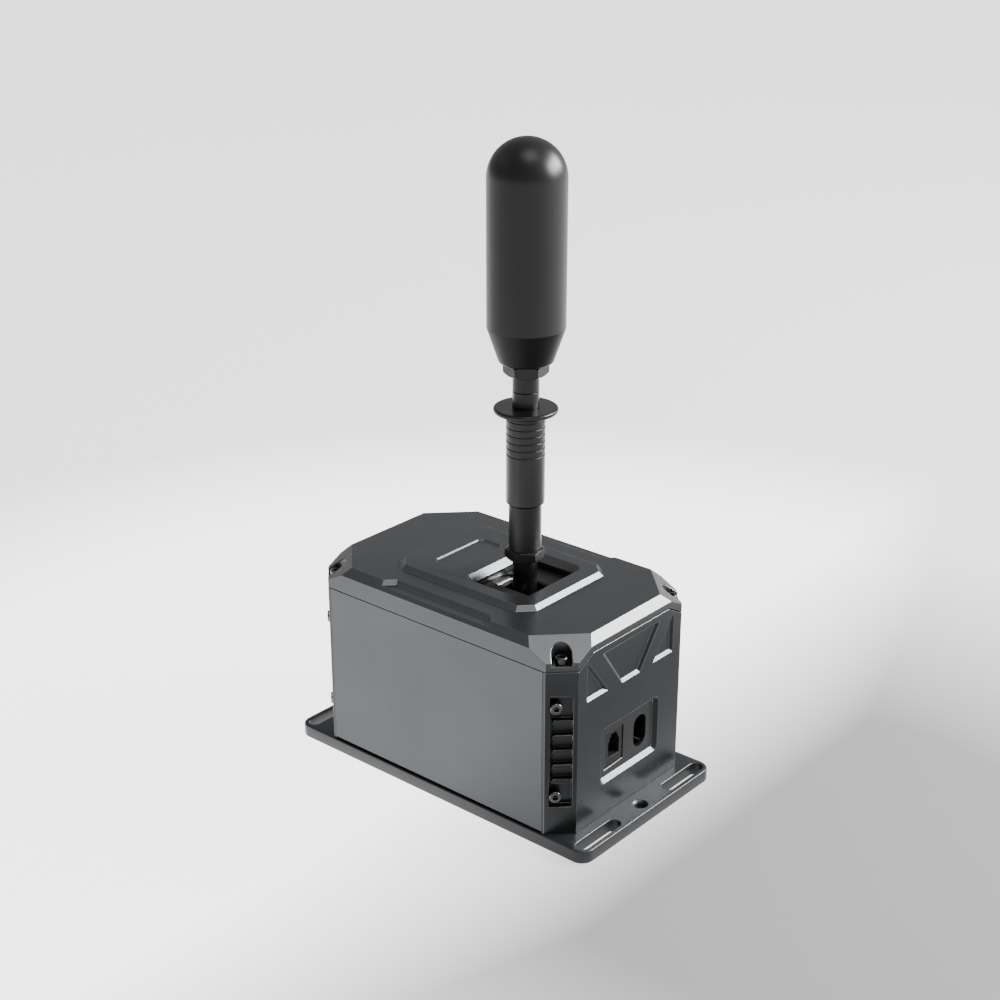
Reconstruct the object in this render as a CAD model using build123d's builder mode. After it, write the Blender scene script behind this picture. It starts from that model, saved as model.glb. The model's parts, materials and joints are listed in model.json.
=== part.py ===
from build123d import *
from math import cos, radians, sin, sqrt, tan
import os

os.makedirs("parts", exist_ok=True)

# Gear shifter for a driving game seat. Lengths are in millimetres, +Z is up,
# +X is forward, towards the sockets, and the origin is the middle of the foot of the base plate.

# Base plate
base_end_margin = 13.6
base_side_margin = 1.1
base_thickness = 6.3
base_corner_radius = 6.5
base_edge_break = 0.5
slot_width = 6.2
slot_length = 29.0
slot_inset = 5.6
slot_side_gap = 2.7
end_hole_radius = 2.25
end_hole_sink_radius = 3.7
end_hole_inset = 6.2

# Housing outline and the seam between its walls and the top cover
body_length = 152.8
body_width = 96.8
body_height = 93.7
body_corner_leg = 10.3
cover_height = 12.4
slope_angle = 45.0
seam_gap = 0.3
panel_reveal = 1.0

# End covers
end_wall = 4.0
column_wall = 6.0
strip_length = 1.5
crown_height = 5.4
crown_side_gap = 10.7
crown_slope_run = 9.7
channel_width = 10.3
channel_foot_gap = 13.95
channel_top_gap = 12.05
channel_depth = 3.4
rib_count = 5
rib_height = 2.3
rib_recess = 0.5
rib_end_gap = 1.2
rib_end_radius = 0.8

# Sunk fields on the end covers, the lower one with its heights above the base plate
field_top_gap = 3.2
kite_height = 20.4
kite_top_width = 42.8
kite_foot_width = 13.2
wing_height = 19.8
wing_side_gap = 16.4
wing_inner = 16.4
field_depth = 1.4
port_field_foot_height = 16.1
port_field_top_height = 44.7
port_field_width = 43.3
port_field_centre = 0.6
port_field_depth = 2.0
port_field_corner = 3.0

# Sockets and the board behind them
jack_width = 12.9
jack_height = 16.9
jack_depth = 13.4
jack_centre = -8.4
jack_middle_height = 30.45
jack_gap = 0.3
jack_sink = 0.5
jack_mouth_width = 8.0
jack_mouth_height = 8.0
jack_latch_width = 6.2
jack_latch_height = 1.9
jack_key_width = 4.0
jack_key_height = 1.6
jack_mouth_lift = 3.8
jack_mouth_depth = 11.0
usb_slot_width = 8.8
usb_slot_height = 15.8
usb_centre = 10.8
usb_middle_height = 30.55
usb_shell_width = 3.3
usb_shell_height = 9.0
usb_shell_length = 8.6
usb_shell_wall = 0.35
usb_tongue_thickness = 0.7
usb_tongue_height = 6.7
usb_tongue_back = 1.2
board_thickness = 1.6
board_width = 52.0
board_foot_height = 10.0
board_top_height = 52.0
board_hole_inset = 4.0
standoff_radius = 2.6
board_chip_size = 9.0
board_chip_height = 1.2
board_chip_centre = -8.0

# Side panels
panel_thickness = 2.4
tongue_thickness = 1.0
tongue_length = 1.5
tongue_gap = 0.1

# Corner blocks behind the columns
corner_block_reach = 8.6
corner_block_depth = 8.0
corner_block_top_gap = 3.6

# Top cover
long_edge_slope = 3.7
end_edge_run = 3.6
end_edge_drop = 4.0
facet_run = 11.5
facet_drop = 8.3
cover_wall = 3.0
cover_end_wall = 3.4
cover_corner_land = 12.4
ceiling_thickness = 3.7
crown_gap = 0.3
pocket_radius = 4.4
pocket_inset = 3.9
pocket_floor = 2.4
plateau_height = 2.2
plateau_length = 83.2
plateau_width = 62.0
plateau_corner_leg = 6.8
scoop_depth = 2.0
scoop_length = 56.6
scoop_back = 40.0
opening_length = 35.3
opening_width = 44.8
opening_bevel = 3.1
opening_corner = 4.6
opening_shift = -0.5
blank_length = 14.4
blank_width = 34.0
blank_depth = 0.9
blank_corner_leg = 2.2
blank_centre = -20.2

# Sliding shield under the opening and the frame that guides it
shield_thickness = 1.6
shield_gap = 0.3
shield_half_length = 24.2
shield_end_room = 7.0
shield_slot_half_width = 7.0
shield_slot_back = 9.6
shield_slot_front = 10.5
shield_slot_break = 0.9
frame_thickness = 2.5
frame_half_length = 28.0
frame_side_gap = 10.4
frame_rail_gap = 0.3
frame_window_half_length = 11.6
frame_window_half_width = 12.6
frame_screw_inset = 1.75
frame_screw_end_inset = 4.0

# Lever and what sits on it, the lower heights above the base plate
lever_share = 0.09424
pivot_height = 51.7
shift_limit = 7.0
select_limit = 8.0
rod_radius = 5.65
rod_foot_height = 15.7
rod_end_rise = 10.0
rod_upper_radius = 6.0
rod_bore_radius = 2.1
rod_bore_foot_height = 23.4
jam_nut_across = 16.2
jam_nut_height = 5.2
jam_nut_gap = 10.0
nut_break = 0.9
nut_break_angle = 30.0
hexagon_turn = 40.5
tube_radius = 7.5
tube_length = 34.6
collar_radius = 8.85
collar_lap_share = 0.37
collar_top_rise = 5.7
collar_travel = 8.0
collar_chamfer = 1.1
collar_gap = 0.1
collar_cap = 3.0
collar_key_depth = 0.5
collar_groove_count = 6
collar_groove_pitch = 3.3
collar_groove_depth = 0.35
collar_groove_width = 0.7
collar_groove_top_gap = 2.6
flange_radius = 14.6
flange_thickness = 2.4
flange_round = 1.0
knob_nut_across = 17.8
knob_nut_height = 5.7
knob_rise = 13.2
knob_foot_radius = 12.35
knob_radius = 17.5
knob_taper_height = 16.0
knob_height = 98.7
knob_socket_radius = 5.0
knob_socket_depth = 30.0
knob_foot_break = 0.8

# Collar spring, its stop and the lockout inside the lever
collar_spring_radius = 6.85
collar_wire_radius = 0.45
collar_spring_turns = 8
stop_ring_radius = 7.4
stop_ring_thickness = 2.0
stop_ring_rise = 21.0
cross_pin_radius = 1.5
cross_pin_rise = 4.5
lockout_rod_radius = 1.9
lockout_end_gap = 1.0
lockout_pin_height = 27.7
lockout_pin_half_length = 9.0
reverse_stop_gap = 0.7
reverse_stop_thickness = 4.0
reverse_stop_half_length = 8.0

# Gate at the lever's foot
floor_thickness = 4.0
floor_half_length = 38.0
floor_half_width = 30.0
floor_window_half_length = 9.5
floor_window_half_width = 10.0
floor_screw_inset = 5.0
gate_thickness = 2.5
gate_half_length = 16.0
gate_half_width = 12.5
gate_screw_inset = 3.0
gate_pin_radius = 2.5
gate_pin_grip = 7.0
gate_pin_tip_radius = 1.6
gate_pin_tip_length = 7.5
gate_pin_end_height = 3.4
gate_clearance = 0.5

# Cradle, bearing blocks, bushes and pins
cradle_share = 0.144
cradle_half_width = 20.0
cradle_half_height = 8.0
cradle_end_wall = 6.0
cradle_side_wall = 5.0
cradle_corner = 3.0
block_thickness = 8.0
block_half_width = 15.0
block_head_radius = 11.0
bush_flange_thickness = 1.5
bush_flange_gap = 0.5
bush_wall = 2.0
bush_flange_reach = 2.0
pin_fit = 0.05
press_fit_gap = 0.02
select_pin_radius = 4.0
select_pin_overhang = 2.0
shift_pin_radius = 3.5
shift_pin_overhang = 1.5
shift_pin_grip = 5.5
hub_half_length = 9.0
hub_half_width = 12.8
hub_half_height = 11.0
hub_corner = 2.0
set_screw_radius = 1.5
set_screw_length = 3.2
set_screw_rise = 7.5

# Detent on the cradle's left side
sector_gap = 1.0
sector_thickness = 3.0
sector_rim_radius = 26.0
sector_hub_radius = 7.0
sector_half_angle = 16.0
notch_radius = 1.25
notch_depth = 0.9
plunger_radius = 2.0
plunger_tip_radius = 1.0
plunger_tip_length = 2.0
plunger_length = 7.0
plunger_gap = 0.3
plunger_spring_length = 5.0
bracket_plate = 2.0
bracket_half_length = 12.0
bracket_arm_half_length = 6.0
bracket_arm_depth = 6.0
bracket_floor = 1.6
bracket_screw_spread = 9.0
bracket_screw_drop = 4.5
detent_wire_radius = 0.3
detent_spring_turns = 6

# Centring springs under the cradle
centring_offset_x = -13.0
centring_offset_y = 17.5
centring_coil_radius = 3.2
centring_wire_radius = 0.5
centring_turns = 9
centring_guide_radius = 2.2
centring_guide_height = 28.0
centring_foot_radius = 4.2
centring_foot_thickness = 1.5

# Sensors
magnet_radius = 3.0
magnet_thickness = 2.0
sensor_board_length = 22.0
sensor_board_width = 16.0
sensor_chip = 4.0
sensor_chip_height = 0.7
sensor_gap = 0.3
sensor_boss_radius = 2.2
sensor_boss_spread = 8.0

# Screws
cap_screw_radius = 1.5
cap_head_radius = 2.75
cap_head_height = 3.2
cap_socket_radius = 1.4
cap_socket_depth = 1.6
cap_edge = 0.35
top_screw_length = 12.0
corner_screw_length = 10.0
corner_head_height = 4.4
corner_screw_side = 2.3
corner_screw_end_gap = 5.4
sink_screw_radius = 2.0
sink_head_radius = 3.8
sink_angle = 90.0
base_screw_reach = 9.0
small_screw_radius = 1.0
small_head_radius = 1.9
small_head_height = 1.2
small_screw_reach = 4.0
screw_fit = 0.05
cut_overrun = 2.0

# Levels worked out from the sizes above
base_length = body_length + 2 * base_end_margin
base_width = body_width + 2 * base_side_margin
base_top = base_thickness
cover_top = base_top + body_height
seam = cover_top - cover_height
wall_top = seam - seam_gap
ceiling = cover_top - ceiling_thickness
plateau_top = cover_top + plateau_height
half_length = body_length / 2
half_width = body_width / 2
lever_x = lever_share * body_length
cradle_half_length = cradle_share * body_length
frame_half_width = half_width - frame_side_gap
shield_half_width = frame_half_width - shield_end_room
corner_face = (half_length + half_width - body_corner_leg) / sqrt(2)
pivot = base_top + pivot_height
floor_top = base_top + floor_thickness
gate_top = floor_top + gate_thickness
panel_inner = half_width - panel_thickness
column_start = half_length - body_corner_leg - strip_length
channel_height = wall_top - base_top - channel_foot_gap - channel_top_gap
channel_middle = base_top + channel_foot_gap + channel_height / 2
corner_screw_rise = channel_height / 2 - corner_screw_end_gap
rib_pitch = 2 * corner_screw_rise / (rib_count + 1)
jam_nut_foot = cover_top + jam_nut_gap
tube_foot = jam_nut_foot + jam_nut_height
tube_top = tube_foot + tube_length
collar_foot = tube_top - collar_lap_share * tube_length
cross_pin_level = tube_top + cross_pin_rise
stop_ring_foot = cross_pin_level + stop_ring_rise
collar_top = stop_ring_foot + collar_top_rise
rod_top = collar_top + rod_end_rise
knob_foot = rod_top + knob_rise
corner_signs = [(1, 1), (1, -1), (-1, 1), (-1, -1)]
corner_names = {(1, 1): "front_left", (1, -1): "front_right", (-1, 1): "rear_left", (-1, -1): "rear_right"}


def corner_plane(sign_x, sign_y, height, inset=0):
    """Plane on a corner face: Z points out of the housing, X runs from the side to the end."""
    reach = (corner_face - inset) / sqrt(2)
    slide = (half_length - half_width) / 2
    origin = (sign_x * (reach + slide), sign_y * (reach - slide), height)
    return Plane(origin=origin, x_dir=(sign_x, -sign_y, 0), z_dir=(sign_x, sign_y, 0))


def corner_spots(inset):
    """Places on the middle line of each corner, a distance inside its face."""
    return [(plane.origin.X, plane.origin.Y) for plane in
            (corner_plane(sign_x, sign_y, 0, inset) for sign_x, sign_y in corner_signs)]


def octagon(length, width, leg):
    """Points of a rectangle with its four corners cut at 45 degrees."""
    x = length / 2
    y = width / 2
    return [(x, y - leg), (x - leg, y), (leg - x, y), (-x, y - leg),
            (-x, leg - y), (leg - x, -y), (x - leg, -y), (x, leg - y)]


def cap_screw(length, radius=cap_screw_radius, head_radius=cap_head_radius, head_height=cap_head_height):
    """Socket head screw with its seat at the origin and its head up."""
    with BuildPart() as screw:
        with BuildSketch(Plane.XY.offset(-length)):
            Circle(radius)
        extrude(amount=length)
        with BuildSketch(Plane.XY):
            Circle(head_radius)
        extrude(amount=head_height)
        chamfer(screw.faces().sort_by(Axis.Z)[-1].edges(), cap_edge * head_radius / cap_head_radius)
        socket = cap_socket_depth * head_height / cap_head_height
        with BuildSketch(Plane.XY.offset(head_height - socket)):
            RegularPolygon(cap_socket_radius * head_radius / cap_head_radius, 6)
        extrude(amount=socket, mode=Mode.SUBTRACT)
    return screw.part


def sink_screw(length, radius=sink_screw_radius, head_radius=sink_head_radius):
    """Countersunk screw with the face of its head at the origin, its shank down."""
    head_height = (head_radius - radius) / tan(radians(sink_angle / 2))
    with BuildPart() as screw:
        with BuildSketch(Plane.XZ):
            with BuildLine():
                Polyline((0, 0), (head_radius, 0), (radius, -head_height), (radius, -length),
                         (0, -length), close=True)
            make_face()
        revolve(axis=Axis.Z)
        socket = head_height / 2
        with BuildSketch(Plane.XY.offset(-socket)):
            RegularPolygon(radius * cap_socket_radius / cap_screw_radius, 6)
        extrude(amount=socket, mode=Mode.SUBTRACT)
    return screw.part


def coil(radius, wire_radius, height, turns):
    """Compression spring that stands on the origin: one wire rising in even turns."""
    with BuildPart() as spring:
        rise = (height - 2 * wire_radius) / turns
        with BuildLine() as path:
            Helix(pitch=rise, height=rise * turns, radius=radius)
        with BuildSketch(Plane(origin=path.line @ 0, z_dir=path.line % 0)):
            Circle(wire_radius)
        sweep(path=path.line, is_frenet=True)
    return Pos(0, 0, wire_radius) * spring.part


def upright(x, y, height):
    """Plane across the lever at a point: X forward, Y up."""
    return Plane(origin=(x, y, height), x_dir=(1, 0, 0), z_dir=(0, -1, 0))


def finish(piece, name):
    """Label a piece and write its file."""
    piece.label = name
    export_step(piece, "parts/" + name + ".step")


# Base plate, with slots for the seat frame and sunk holes for the screws from below
column_screw_spots = corner_spots(pocket_inset)
block_screw_x = column_start - corner_block_reach / 2
block_screw_y = panel_inner - corner_block_depth / 2
block_screw_spots = [(sign_x * block_screw_x, sign_y * block_screw_y) for sign_x, sign_y in corner_signs]
floor_screw_x = floor_half_length - floor_screw_inset
floor_screw_y = floor_half_width - floor_screw_inset
floor_screw_spots = [(lever_x + sign_x * floor_screw_x, sign_y * floor_screw_y)
                     for sign_x, sign_y in corner_signs]
sunk_spots = column_screw_spots + block_screw_spots + floor_screw_spots

with BuildPart() as base_plate:
    with BuildSketch():
        RectangleRounded(base_length, base_width, base_corner_radius)
    extrude(amount=base_thickness)
    rims = base_plate.faces().filter_by(Axis.Z)
    chamfer(rims.edges(), base_edge_break)
    with BuildSketch(Plane.XY.offset(-cut_overrun)):
        with GridLocations(base_length - 2 * slot_inset, base_width - slot_length - 2 * slot_side_gap, 2, 2):
            SlotOverall(slot_length, slot_width, rotation=90)
    extrude(amount=base_thickness + 2 * cut_overrun, mode=Mode.SUBTRACT)
    with Locations(Plane.XY.offset(base_top)):
        with GridLocations(base_length - 2 * end_hole_inset, 0, 2, 1):
            CounterSinkHole(end_hole_radius, end_hole_sink_radius, depth=base_thickness,
                            counter_sink_angle=sink_angle)
    with Locations(Location((0, 0, 0), (180, 0, 0))):
        with Locations(*[(x, -y) for x, y in sunk_spots]):
            CounterSinkHole(sink_screw_radius + screw_fit, sink_head_radius + screw_fit,
                            depth=base_thickness, counter_sink_angle=sink_angle)
finish(base_plate.part, "base_plate")


# End covers: a wall with two ribbed corner columns
crown_foot_width = body_width - 2 * crown_side_gap
crown_top_width = crown_foot_width - 2 * crown_slope_run


def field(points, depth):
    """Sunk field with sloping walls in the outer face of the front end wall."""
    with BuildSketch(Plane.YZ.offset(half_length)) as outline:
        with BuildLine():
            Polyline(*points, close=True)
        make_face()
    extrude(outline.sketch, amount=-depth, taper=slope_angle, mode=Mode.SUBTRACT)


def end_shell():
    """Front end cover before its sockets are cut."""
    column_inner = sqrt(2) * (corner_face - column_wall)
    inner_x = half_length - end_wall
    crown_top = wall_top + crown_height
    with BuildPart() as shell:
        with BuildSketch(Plane.XY.offset(base_top)):
            with BuildLine():
                Polyline((column_start, -half_width), (half_length - body_corner_leg, -half_width),
                         (half_length, body_corner_leg - half_width),
                         (half_length, half_width - body_corner_leg),
                         (half_length - body_corner_leg, half_width), (column_start, half_width),
                         (column_start, column_inner - column_start), (inner_x, column_inner - inner_x),
                         (inner_x, inner_x - column_inner), (column_start, column_start - column_inner),
                         close=True)
            make_face()
        extrude(amount=wall_top - base_top)
        with BuildSketch(Plane.YZ.offset(inner_x)):
            with BuildLine():
                Polyline((-crown_foot_width / 2, wall_top), (crown_foot_width / 2, wall_top),
                         (crown_top_width / 2, crown_top), (-crown_top_width / 2, crown_top), close=True)
            make_face()
        extrude(amount=end_wall)
        for side in (1, -1):
            face = corner_plane(1, side, channel_middle)
            with BuildSketch(face):
                Rectangle(channel_width, channel_height)
            extrude(amount=-channel_depth, mode=Mode.SUBTRACT)
            with BuildSketch(face.offset(-channel_depth)) as ribs:
                with Locations((rib_end_gap / 2, 0)):
                    with GridLocations(0, rib_pitch, 1, rib_count):
                        Rectangle(channel_width - rib_end_gap, rib_height)
                fillet([corner for corner in ribs.vertices() if corner.X < 0], rib_end_radius)
            extrude(amount=channel_depth - rib_recess)
            with BuildSketch(face.offset(cut_overrun)):
                with GridLocations(0, 2 * corner_screw_rise, 1, 2):
                    with Locations((-corner_screw_side, 0)):
                        Circle(cap_screw_radius + screw_fit)
            extrude(amount=-column_wall - 2 * cut_overrun, mode=Mode.SUBTRACT)
            groove_middle = panel_inner + panel_thickness / 2
            with BuildSketch(Plane.YZ.offset(column_start)):
                with Locations((side * groove_middle, (base_top + wall_top) / 2)):
                    Rectangle(tongue_thickness + 2 * tongue_gap, wall_top - base_top)
            extrude(amount=tongue_length + tongue_gap, mode=Mode.SUBTRACT)
            spot = corner_plane(1, side, 0, pocket_inset).origin
            with Locations((spot.X, spot.Y, wall_top)):
                Hole(cap_screw_radius + screw_fit, depth=top_screw_length - pocket_floor)
            with Locations(Location((spot.X, spot.Y, base_top), (180, 0, 0))):
                Hole(sink_screw_radius + screw_fit, depth=base_screw_reach)
        field_top = crown_top - field_top_gap
        kite_foot = field_top - kite_height
        field([(-kite_top_width / 2, field_top), (-kite_foot_width / 2, kite_foot),
               (kite_foot_width / 2, kite_foot), (kite_top_width / 2, field_top)], field_depth)
        wing_outer = half_width - wing_side_gap
        wing_foot = field_top - wing_height
        for side in (1, -1):
            field([(side * wing_outer, field_top), (side * wing_outer, wing_foot),
                   (side * wing_inner, wing_foot)], field_depth)
    return shell.part


plain_end = end_shell()
port_floor = half_length - port_field_depth
jack_middle = base_top + jack_middle_height
usb_middle = base_top + usb_middle_height
board_face = port_floor - jack_sink - jack_depth
board_middle = base_top + (board_foot_height + board_top_height) / 2
board_height = board_top_height - board_foot_height
board_hole_x = board_width - 2 * board_hole_inset
board_hole_y = board_height - 2 * board_hole_inset

with BuildPart() as front_end_cover:
    add(plain_end)
    port_field_height = port_field_top_height - port_field_foot_height
    with BuildSketch(Plane.YZ.offset(half_length)):
        with Locations((port_field_centre, base_top + (port_field_top_height + port_field_foot_height) / 2)):
            RectangleRounded(port_field_width, port_field_height, port_field_corner)
    extrude(amount=-port_field_depth, taper=slope_angle, mode=Mode.SUBTRACT)
    with BuildSketch(Plane.YZ.offset(port_floor + cut_overrun)):
        with Locations((jack_centre, jack_middle)):
            Rectangle(jack_width + 2 * jack_gap, jack_height + 2 * jack_gap)
        with Locations((usb_centre, usb_middle)):
            SlotOverall(usb_slot_height, usb_slot_width, rotation=90)
    extrude(amount=-end_wall - cut_overrun, mode=Mode.SUBTRACT)
    with BuildSketch(Plane.YZ.offset(board_face)):
        with Locations((0, board_middle)):
            with GridLocations(board_hole_x, board_hole_y, 2, 2):
                Circle(standoff_radius)
    extrude(amount=half_length - end_wall - board_face)
    with BuildSketch(Plane.YZ.offset(board_face)):
        with Locations((0, board_middle)):
            with GridLocations(board_hole_x, board_hole_y, 2, 2):
                Circle(small_screw_radius + screw_fit)
    extrude(amount=small_screw_reach, mode=Mode.SUBTRACT)
finish(front_end_cover.part, "front_end_cover")

with BuildPart() as rear_end_cover:
    add(plain_end.mirror(Plane.YZ))
finish(rear_end_cover.part, "rear_end_cover")

# Board behind the sockets, on bosses of the front wall
with BuildPart() as main_board:
    with BuildSketch(Plane.YZ.offset(board_face - board_thickness)):
        with Locations((0, board_middle)):
            Rectangle(board_width, board_height)
            with GridLocations(board_hole_x, board_hole_y, 2, 2):
                Circle(small_screw_radius + screw_fit, mode=Mode.SUBTRACT)
    extrude(amount=board_thickness)
    with BuildSketch(Plane.YZ.offset(board_face - board_thickness)):
        with Locations((board_chip_centre, board_middle)):
            Rectangle(board_chip_size, board_chip_size)
    extrude(amount=-board_chip_height)
finish(main_board.part, "main_board")

with BuildPart() as modular_jack:
    jack_face = board_face + jack_depth
    with BuildSketch(Plane.YZ.offset(board_face)):
        with Locations((jack_centre, jack_middle)):
            Rectangle(jack_width, jack_height)
    extrude(amount=jack_depth)
    mouth_foot = jack_middle - jack_height / 2 + jack_mouth_lift
    with BuildSketch(Plane.YZ.offset(jack_face)):
        with Locations((jack_centre, mouth_foot)):
            Rectangle(jack_mouth_width, jack_mouth_height, align=(Align.CENTER, Align.MIN))
            with Locations((0, jack_mouth_height)):
                Rectangle(jack_latch_width, jack_latch_height, align=(Align.CENTER, Align.MIN))
                with Locations((0, jack_latch_height)):
                    Rectangle(jack_key_width, jack_key_height, align=(Align.CENTER, Align.MIN))
    extrude(amount=-jack_mouth_depth, mode=Mode.SUBTRACT)
finish(modular_jack.part, "modular_jack")

with BuildPart() as usb_socket:
    usb_round = usb_shell_width - 2 * usb_shell_wall
    with BuildSketch(Plane.YZ.offset(board_face)):
        with Locations((usb_centre, usb_middle)):
            SlotOverall(usb_shell_height, usb_shell_width, rotation=90)
    extrude(amount=usb_shell_length)
    with BuildSketch(Plane.YZ.offset(board_face + usb_tongue_back)):
        with Locations((usb_centre, usb_middle)):
            SlotOverall(usb_shell_height - 2 * usb_shell_wall, usb_round, rotation=90)
            Rectangle(usb_tongue_thickness, usb_tongue_height, mode=Mode.SUBTRACT)
    extrude(amount=usb_shell_length, mode=Mode.SUBTRACT)
finish(usb_socket.part, "usb_socket")


# Side panels slide down between the columns on a tongue at each end
panel_foot = base_top + panel_reveal
panel_half_length = column_start - tongue_gap
for side_name, side in (("left", 1), ("right", -1)):
    with BuildPart() as side_panel:
        panel_middle = side * (panel_inner + panel_thickness / 2)
        with BuildSketch(Plane.XY.offset(panel_foot)):
            with Locations((0, panel_middle)):
                Rectangle(2 * panel_half_length, panel_thickness)
                Rectangle(2 * (panel_half_length + tongue_length), tongue_thickness)
        extrude(amount=wall_top - panel_foot)
    finish(side_panel.part, side_name + "_side_panel")

# Corner blocks behind the columns take the corner screws
block_top = seam - corner_block_top_gap
for sign_x, sign_y in corner_signs:
    inner_sum = sqrt(2) * (corner_face - column_wall)
    back_sum = inner_sum - sqrt(2) * corner_block_depth
    block_back = column_start - corner_block_reach
    tip_x = half_length - end_wall - panel_thickness
    toe = corner_block_depth / sqrt(2)
    corner_outline = [(block_back, panel_inner), (column_start, panel_inner),
                      (column_start, inner_sum - column_start), (tip_x, inner_sum - tip_x),
                      (tip_x - toe, inner_sum - tip_x - toe), (block_back, back_sum - block_back)]
    with BuildPart() as corner_block:
        with BuildSketch(Plane.XY.offset(base_top)):
            with BuildLine():
                Polyline(*[(sign_x * x, sign_y * y) for x, y in corner_outline], close=True)
            make_face()
        extrude(amount=block_top - base_top)
        with BuildSketch(corner_plane(sign_x, sign_y, channel_middle, column_wall - cut_overrun)):
            with GridLocations(0, 2 * corner_screw_rise, 1, 2):
                with Locations((-corner_screw_side, 0)):
                    Circle(cap_screw_radius + screw_fit)
        extrude(amount=-corner_block_depth - 2 * cut_overrun, mode=Mode.SUBTRACT)
        with Locations(Location((sign_x * block_screw_x, sign_y * block_screw_y, base_top), (180, 0, 0))):
            Hole(sink_screw_radius + screw_fit, depth=base_screw_reach)
    finish(corner_block.part, "corner_block_" + corner_names[sign_x, sign_y])

with BuildPart() as corner_screws:
    for sign_x, sign_y in corner_signs:
        with Locations(corner_plane(sign_x, sign_y, channel_middle, channel_depth)):
            with GridLocations(0, 2 * corner_screw_rise, 1, 2):
                with Locations((-corner_screw_side, 0)):
                    add(cap_screw(corner_screw_length, head_height=corner_head_height))
finish(corner_screws.part, "corner_screws")

with BuildPart() as base_screws:
    with Locations(*[Location((x, y, 0), (180, 0, 0)) for x, y in column_screw_spots + block_screw_spots]):
        add(sink_screw(base_thickness + base_screw_reach - screw_fit))
    with Locations(*[Location((x, y, 0), (180, 0, 0)) for x, y in floor_screw_spots]):
        add(sink_screw(floor_top - screw_fit))
finish(base_screws.part, "base_screws")


# Top cover
def tent(plane, points, reach):
    """Keep only what lies inside an outline, on both sides of its plane."""
    with BuildSketch(plane) as outline:
        with BuildLine():
            Polyline(*points, close=True)
        make_face()
    extrude(outline.sketch, amount=reach, both=True, mode=Mode.INTERSECT)


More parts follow.
